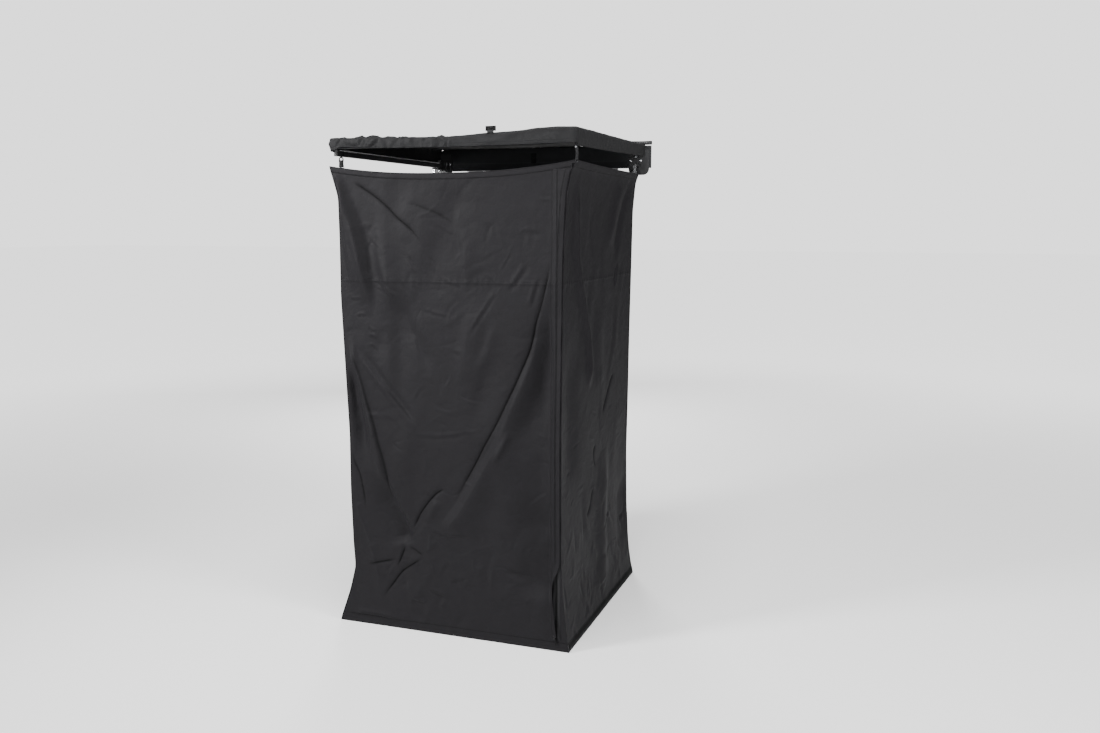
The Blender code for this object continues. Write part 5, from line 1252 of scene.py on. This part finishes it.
def shape_roof_cover(mesh, values):
    """Send each point to its place on the top, on the round rim or on the hanging skirt."""
    x, y, out_x, out_y, step = values.T
    deep = (y - ROOF_BACK) / (ROOF_FRONT - ROOF_BACK)
    share = (x - ROOF_LEFT) / (ROOF_RIGHT - ROOF_LEFT)
    front_hem = np.interp(share, SKIRT_SHARES, SKIRT_FRONT)
    right_hem = np.interp(1 - deep, (0.0, 0.5, 1.0), SKIRT_RIGHT)
    left_hem = np.interp(1 - deep, (0.0, 0.5, 1.0), SKIRT_LEFT)
    hem = np.where(out_y < -0.1, front_hem, np.where(out_x > 0, right_hem, left_hem))
    top = roof_height(x, y)
    angle = np.clip(step / RIM_STEPS, 0.0, 1.0) * math.pi / 2
    out = RIM_RADIUS * np.sin(angle)
    drop = RIM_RADIUS * (1 - np.cos(angle))
    hang = np.clip((step - RIM_STEPS) / (SKIRT_STEPS - RIM_STEPS), 0.0, 1.0)
    height = np.where(step > RIM_STEPS, (top - RIM_RADIUS) * (1 - hang) + hem * hang, top - drop)
    u = x + out_x * (out + top - height)
    v = y + out_y * (out + top - height)
    wrinkle = np.maximum(roof_wrinkles(u, v), np.where(out_x < -0.5, -0.002, -0.006))
    turn = np.sin(angle)
    near_frame = soft_step((0.06 - np.abs(y - ROOF_FRONT)) / 0.06)
    upward = np.maximum(wrinkle, -0.0010 - 0.004 * (1 - near_frame)) * (1 - turn)
    sag = 0.008 * np.sin(np.pi * np.clip(share, 0, 1)) * np.sin(np.pi * np.clip(deep, 0, 1))
    points = np.zeros((len(x), 3))
    points[:, 0] = x + out_x * (out + wrinkle * turn)
    points[:, 1] = y + out_y * (out + wrinkle * turn)
    points[:, 2] = height + GROUND + upward - sag * (step < 0.5)
    mesh.vertices.foreach_set("co", points.ravel())
    lay_cloth_map(mesh, np.stack([u, v], -1))
    from_hem = np.where(step > 0, height - hem, 1.0)
    mesh.attributes.new("from_hem", "FLOAT", "POINT").data.foreach_set("value", from_hem)
    mesh.shade_smooth()
    mesh.update()


roof_mesh, roof_values = build_roof_cover()
shape_roof_cover(roof_mesh, roof_values)
roof_cover = linked(bpy.data.objects.new("roof_cover", roof_mesh))
KEDER_PLACE = (-0.0165, 0.0571)
KEDER_RADIUS = 0.0021
keder_path = [(x, *KEDER_PLACE) for x in np.linspace(ROOF_LEFT + RIM_RADIUS, ROOF_RIGHT - RIM_RADIUS, 60)]
roof_keder = tube_piece("roof_keder", keder_path, KEDER_RADIUS, ROOF_CANVAS, 10)
print("roof cover faces:", len(roof_mesh.polygons))

# %% [markdown]
# ## Straps, hangers and buckles
# Webbing holds the cloth to the frame. A band with a moulded hook grips the left arm, a strap with
# a stud hangs at the right corner, and short tabs with eyelets end each wall at its hooks. The
# buckle on the roof's front edge is where the folded awning is strapped shut. Straps are thin
# ribbons along a path, and buckles are small boxes with softened edges.

# %% Straps and hangers
RING_WIRE = 0.0011
TAB_WIDE, TAB_THICK, TAB_PAST_HOOK = 0.022, 0.0014, 0.012
TAB_RING = 0.0052
HOOK_HALF, HOOK_WAIST = 0.0118, 0.0104
HOOK_EYE, HOOK_EYE_WIRE = (0.0092, 0.0082), 0.0027


def eyelet(name, centre, radius, material):
    """A pressed ring: its round section is spun about an upright axis."""
    maker = bmesh.new()
    ring = []
    for turn in np.linspace(0.0, 2 * math.pi, 9)[:-1]:
        spot = (radius + RING_WIRE * math.cos(turn), 0.0, RING_WIRE * math.sin(turn))
        ring.append(maker.verts.new(Vector(centre) + Vector(spot)))
    edges = [maker.edges.new((ring[index], ring[(index + 1) % 8])) for index in range(8)]
    bmesh.ops.spin(maker, geom=ring + edges, cent=centre, axis=(0, 0, 1), angle=2 * math.pi, steps=24)
    bmesh.ops.remove_doubles(maker, verts=maker.verts, dist=1e-6)
    bmesh.ops.recalc_face_normals(maker, faces=maker.faces)
    mesh = new_mesh(name, maker, material)
    mesh.shade_smooth()
    return linked(bpy.data.objects.new(name, mesh))


def middle_of(node):
    """Centre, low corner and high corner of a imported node's box."""
    corners = np.array([nodes[node].matrix_world @ Vector(corner) for corner in nodes[node].bound_box])
    return (corners.min(0) + corners.max(0)) / 2, corners.min(0), corners.max(0)


def hook_tab(name, node, corner):
    """A tab of webbing from a wall's top corner in to the hook, with an eyelet on the hook."""
    middle, low, _ = middle_of(node)
    foot = Vector((middle[0], middle[1], low[2] - 0.0022))
    start = Vector((corner[0], corner[1], foot.z - 0.004))
    past = foot + (foot - start).normalized() * TAB_PAST_HOOK
    across = (foot - start).cross(Vector((0, 0, 1)))
    tab = ribbon(name, [start + Vector((0, 0, -0.018)), start, (start + foot) / 2, foot, past], across,
                 TAB_WIDE, TAB_THICK, BLACK_WEBBING, 4)
    ring = eyelet(name + "_eyelet", tuple(foot + Vector((0, 0, 0.0010))), TAB_RING, ZINC)
    return tab, ring


def wall_corner(wall, share):
    """A point near the end of a wall's top hem."""
    point, _ = wall.surface(np.array([float(share)]), np.array([float(wall.top(np.array(share))) - 0.004]))
    return point[0]


TAB_PLACES = (  # name, hook, wall, share across it, and how far in from there
    ("tab_front_left", "front_left_hook", FRONT_WALL, 0.012, (0.004, 0.003, 0)),
    ("tab_front_right", "front_right_strap", FRONT_WALL, 0.985, (-0.002, 0.003, 0)),
    ("tab_back_left", "back_left_hook", BACK_WALL, 0.99, (0.002, -0.003, 0)),
    ("tab_back_right", "back_right_hook", BACK_WALL, 0.01, (-0.002, -0.003, 0)),
)
tabs = []
for title, hook, wall, share, inset in TAB_PLACES:
    tabs += hook_tab(title, hook, wall_corner(wall, share) + np.array(inset))


def build_arm_band():
    """Webbing wrapped around the left arm, with its overlap sewn underneath."""
    middle, low, high = middle_of("front_left_band")
    half_x, half_z = (high[0] - low[0]) / 2 - 0.0007, (high[2] - low[2]) / 2 - 0.0007
    path = []
    for turn in np.linspace(-math.pi / 2, 1.5 * math.pi, 33):
        cos, sin = math.cos(turn), math.sin(turn)
        path.append((middle[0] + half_x * np.sign(cos) * abs(cos) ** 0.55, middle[1],
                     middle[2] + half_z * np.sign(sin) * abs(sin) ** 0.55))
    return ribbon("front_left_band_shown", path, (0, 1, 0), high[1] - low[1], 0.0013, BLACK_WEBBING, 2)


def build_corner_strap():
    """The grey strap at the right corner: it bows out a little under the stud."""
    middle, low, high = middle_of("front_right_strap")
    heights = (high[2], 0.0, -0.012, -0.025, -0.050, -0.070, low[2] + 0.001)
    bows = (0.0030, 0.0022, 0.0, -0.0015, -0.0060, -0.0040, 0.0)
    path = [(middle[0] - bow * 0.6, middle[1] - bow * 0.5, height) for height, bow in zip(heights, bows)]
    return ribbon("front_right_strap_shown", path, (1, 0, 0), high[0] - low[0], 0.0012, GREY_WEBBING, 6)


def build_arm_hook():
    """A moulded hook: a round eye over a solid shank that widens where it holds the wall."""
    middle, low, high = middle_of("front_left_hook")
    x, front, back = middle[0], low[1] - 0.0004, high[1] + 0.0004
    eye = high[2] - 0.0095
    steps = ((HOOK_HALF, low[2], low[2] + 0.0100), (HOOK_WAIST, low[2] + 0.0090, eye - 0.0080),
             (HOOK_HALF, eye - 0.0090, eye - 0.0040))
    parts = [((x - half, front, bottom), (x + half, back, top)) for half, bottom, top in steps]
    ring = [(x + HOOK_EYE[0] * math.cos(turn), middle[1], eye + HOOK_EYE[1] * math.sin(turn))
            for turn in np.linspace(0.0, 2 * math.pi, 33)]
    return (moulded("front_left_hook_shown", parts, NYLON_TRIM, 0.0010),
            tube_piece("front_left_hook_eye", ring, HOOK_EYE_WIRE, NYLON_TRIM))


arm_band = build_arm_band()
arm_hook, arm_hook_eye = build_arm_hook()
corner_strap = build_corner_strap()
print("tabs and straps:", len(tabs) + 2)

# %% Roof buckle
BUCKLE_X = 0.205
BUCKLE_FRONT = ROOF_FRONT + 0.0015
BUCKLE_HALF, BUCKLE_POST, BUCKLE_DEEP = 0.0225, 0.0075, 0.0050


def build_roof_buckle():
    """A ladder buckle: a frame with two bars that stands up from the edge of the roof."""
    bottom, top = 0.0440, 0.0640
    left, right = BUCKLE_X - BUCKLE_HALF, BUCKLE_X + BUCKLE_HALF
    front, back = BUCKLE_FRONT, BUCKLE_FRONT + BUCKLE_DEEP
    parts = [((left, front, bottom), (left + BUCKLE_POST, back, top)),
             ((right - BUCKLE_POST, front, bottom), (right, back, top))]
    for low, high in ((bottom, bottom + 0.0040), (bottom + 0.0070, bottom + 0.0120), (top - 0.0045, top)):
        parts.append(((left + 0.001, front + 0.0006, low), (right - 0.001, back - 0.0006, high)))
    return moulded("roof_buckle_shown", parts, NYLON_TRIM, 0.0007)


def build_buckle_strap():
    """Webbing sewn to the skirt, through the buckle and back on itself."""
    front = ROOF_FRONT - 0.0012
    path = [(BUCKLE_X, front, 0.0360), (BUCKLE_X, front - 0.0002, 0.0400), (BUCKLE_X, front + 0.0010, 0.0440),
            (BUCKLE_X, BUCKLE_FRONT + 0.0022, 0.0500), (BUCKLE_X, BUCKLE_FRONT + 0.0034, 0.0610),
            (BUCKLE_X, BUCKLE_FRONT + 0.0075, 0.0600), (BUCKLE_X, BUCKLE_FRONT + 0.0090, 0.0500)]
    return ribbon("roof_buckle_strap", path, (1, 0, 0), 0.0290, 0.0013, BLACK_WEBBING, 6)


roof_buckle_shown = build_roof_buckle()
roof_buckle_strap = build_buckle_strap()

# %% [markdown]
# ## The rolled travel cover
# While the awning is open, its cover is rolled up on top of the rail and tied with two straps.
# The roll is a spiral of vinyl: the radius grows by one thickness with each turn, and soft bumps
# along it show where the layers have slipped.

# %% Travel cover
def build_travel_cover():
    """The rolled cover, drawn in by its two straps and slipped a little at the ends."""
    middle, low, high = middle_of("travel_cover")
    turns, radius = 2.6, (high[2] - low[2]) / 2 - 0.0012

    def place(u, v):
        turn = u * turns * 2 * math.pi
        slack = 0.0006 * np.sin(v * 61 + turn) + 0.0005 * np.sin(v * 23 - 2 * turn)
        tied = sum(np.exp(-((v - spot) / 0.012) ** 2) for spot in (0.152, 0.848))
        reach = radius * (0.42 + 0.58 * u) + slack * (1 - tied) * u - 0.0012 * tied * u
        slipped = 0.0022 * np.sin(turn * 0.5 + 1) * (2 * v - 1) * u
        x = np.clip(low[0] + 0.0006 + v * (high[0] - low[0] - 0.0012) + slipped, low[0], high[0])
        angle = turn - 1.2
        points = np.stack([x, middle[1] + reach * np.cos(angle), middle[2] + reach * np.sin(angle)], -1)
        return points, np.stack([x, turn * radius * 0.7], -1), {}

    return grid_piece("travel_cover_shown", (78, 240), place, COVER_VINYL)


def build_cover_strap(side):
    """Webbing around the roll and down to the rail, pulled tight by a small buckle."""
    node = side + "_cover_strap"
    middle, low, high = middle_of(node)
    half = (high[2] - low[2]) / 2
    path = [(middle[0], middle[1] + half * math.cos(turn), middle[2] + half * math.sin(turn))
            for turn in np.linspace(-math.pi / 2, 1.5 * math.pi, 29)]
    strap = ribbon(node + "_shown", path, (1, 0, 0), high[0] - low[0], 0.0011, BLACK_WEBBING, 2)
    front = middle[1] - half - 0.0016
    parts = []
    for edge in (-1, 1):
        inner, outer = sorted((middle[0] + edge * 0.0130, middle[0] + edge * 0.0158))
        parts.append(((inner, front, middle[2] - 0.008), (outer, front + 0.0022, middle[2] + 0.008)))
    for rise in (-0.0070, 0.0, 0.0070):
        parts.append(((middle[0] - 0.0140, front + 0.0003, middle[2] + rise - 0.0011),
                      (middle[0] + 0.0140, front + 0.0019, middle[2] + rise + 0.0011)))
    return strap, moulded(node + "_buckle", parts, NYLON_TRIM, 0.0004)


def build_closing_strap():
    """The strap that will hold the folded arms: its loose end curls at the bottom."""
    middle, low, high = middle_of("closing_strap")
    y = middle[1]
    path = [(middle[0], y, high[2]), (middle[0], y - 0.0006, high[2] - 0.015), (middle[0] + 0.0006, y, 0.004),
            (middle[0] + 0.0010, y - 0.0010, -0.010), (middle[0] + 0.0006, y - 0.0035, low[2] + 0.004),
            (middle[0], y - 0.0060, low[2] + 0.001)]
    return ribbon("closing_strap_shown", path, (1, 0, 0), high[0] - low[0] - 0.004, 0.0012, BLACK_WEBBING, 6)


travel_cover_shown = build_travel_cover()
cover_straps = [*build_cover_strap("left"), *build_cover_strap("right")]
closing_strap_shown = build_closing_strap()
print("travel cover faces:", len(travel_cover_shown.data.polygons))

# %% [markdown]
# ## Tell the frame what each piece is
# Each new piece rides on a body of the frame and may replace a plain node, which is hidden. The
# walls, roof and their trims gather flat against the rail when the arms fold; here they ride on the
# root and get meshes of their own.

# %% Riding and replaced nodes
def dress(piece, body, replaced=()):
    """Give a piece its body, and hide the plain nodes that it stands for."""
    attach(piece, body)
    if replaced:
        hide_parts(*replaced)


FRONT_TRIMS = [zip_tape, zip_teeth, zip_flap]
for wall, node in ((wall_front, "front_wall"), (wall_right, "right_wall"), (wall_back, "back_wall"),
                   (wall_left, "left_wall")):
    dress(wall, "root", (node,))
for seam in seams:
    dress(seam, "root")
dress(zip_tape, "root", ("zip_chain",))
dress(zip_teeth, "root")
dress(zip_flap, "root")
dress(zip_slider_shown, "zip_slider", ("zip_slider",))
dress(roof_cover, "root", ("roof_sheet", "front_skirt", "left_skirt", "right_skirt"))
dress(roof_keder, "root")
dress(roof_buckle_shown, "root", ("roof_buckle",))
dress(roof_buckle_strap, "root")
for index, piece in enumerate(tabs):
    dress(piece, "root")
dress(arm_band, "left_arm", ("front_left_band",))
dress(arm_hook, "left_arm", ("front_left_hook",))
dress(arm_hook_eye, "left_arm")
dress(corner_strap, "right_arm", ("front_right_strap",))
dress(travel_cover_shown, "root", ("travel_cover",))
for piece, node in zip(cover_straps, ("left_cover_strap", None, "right_cover_strap", None)):
    dress(piece, "root", (node,) if node else ())
dress(closing_strap_shown, "root", ("closing_strap",))

# %% Own meshes for the soft pieces
for soft in (wall_front, wall_right, wall_back, wall_left, *seams, *FRONT_TRIMS, zip_slider_shown, roof_cover,
             roof_keder, roof_buckle_shown, roof_buckle_strap, *tabs):
    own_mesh(soft)
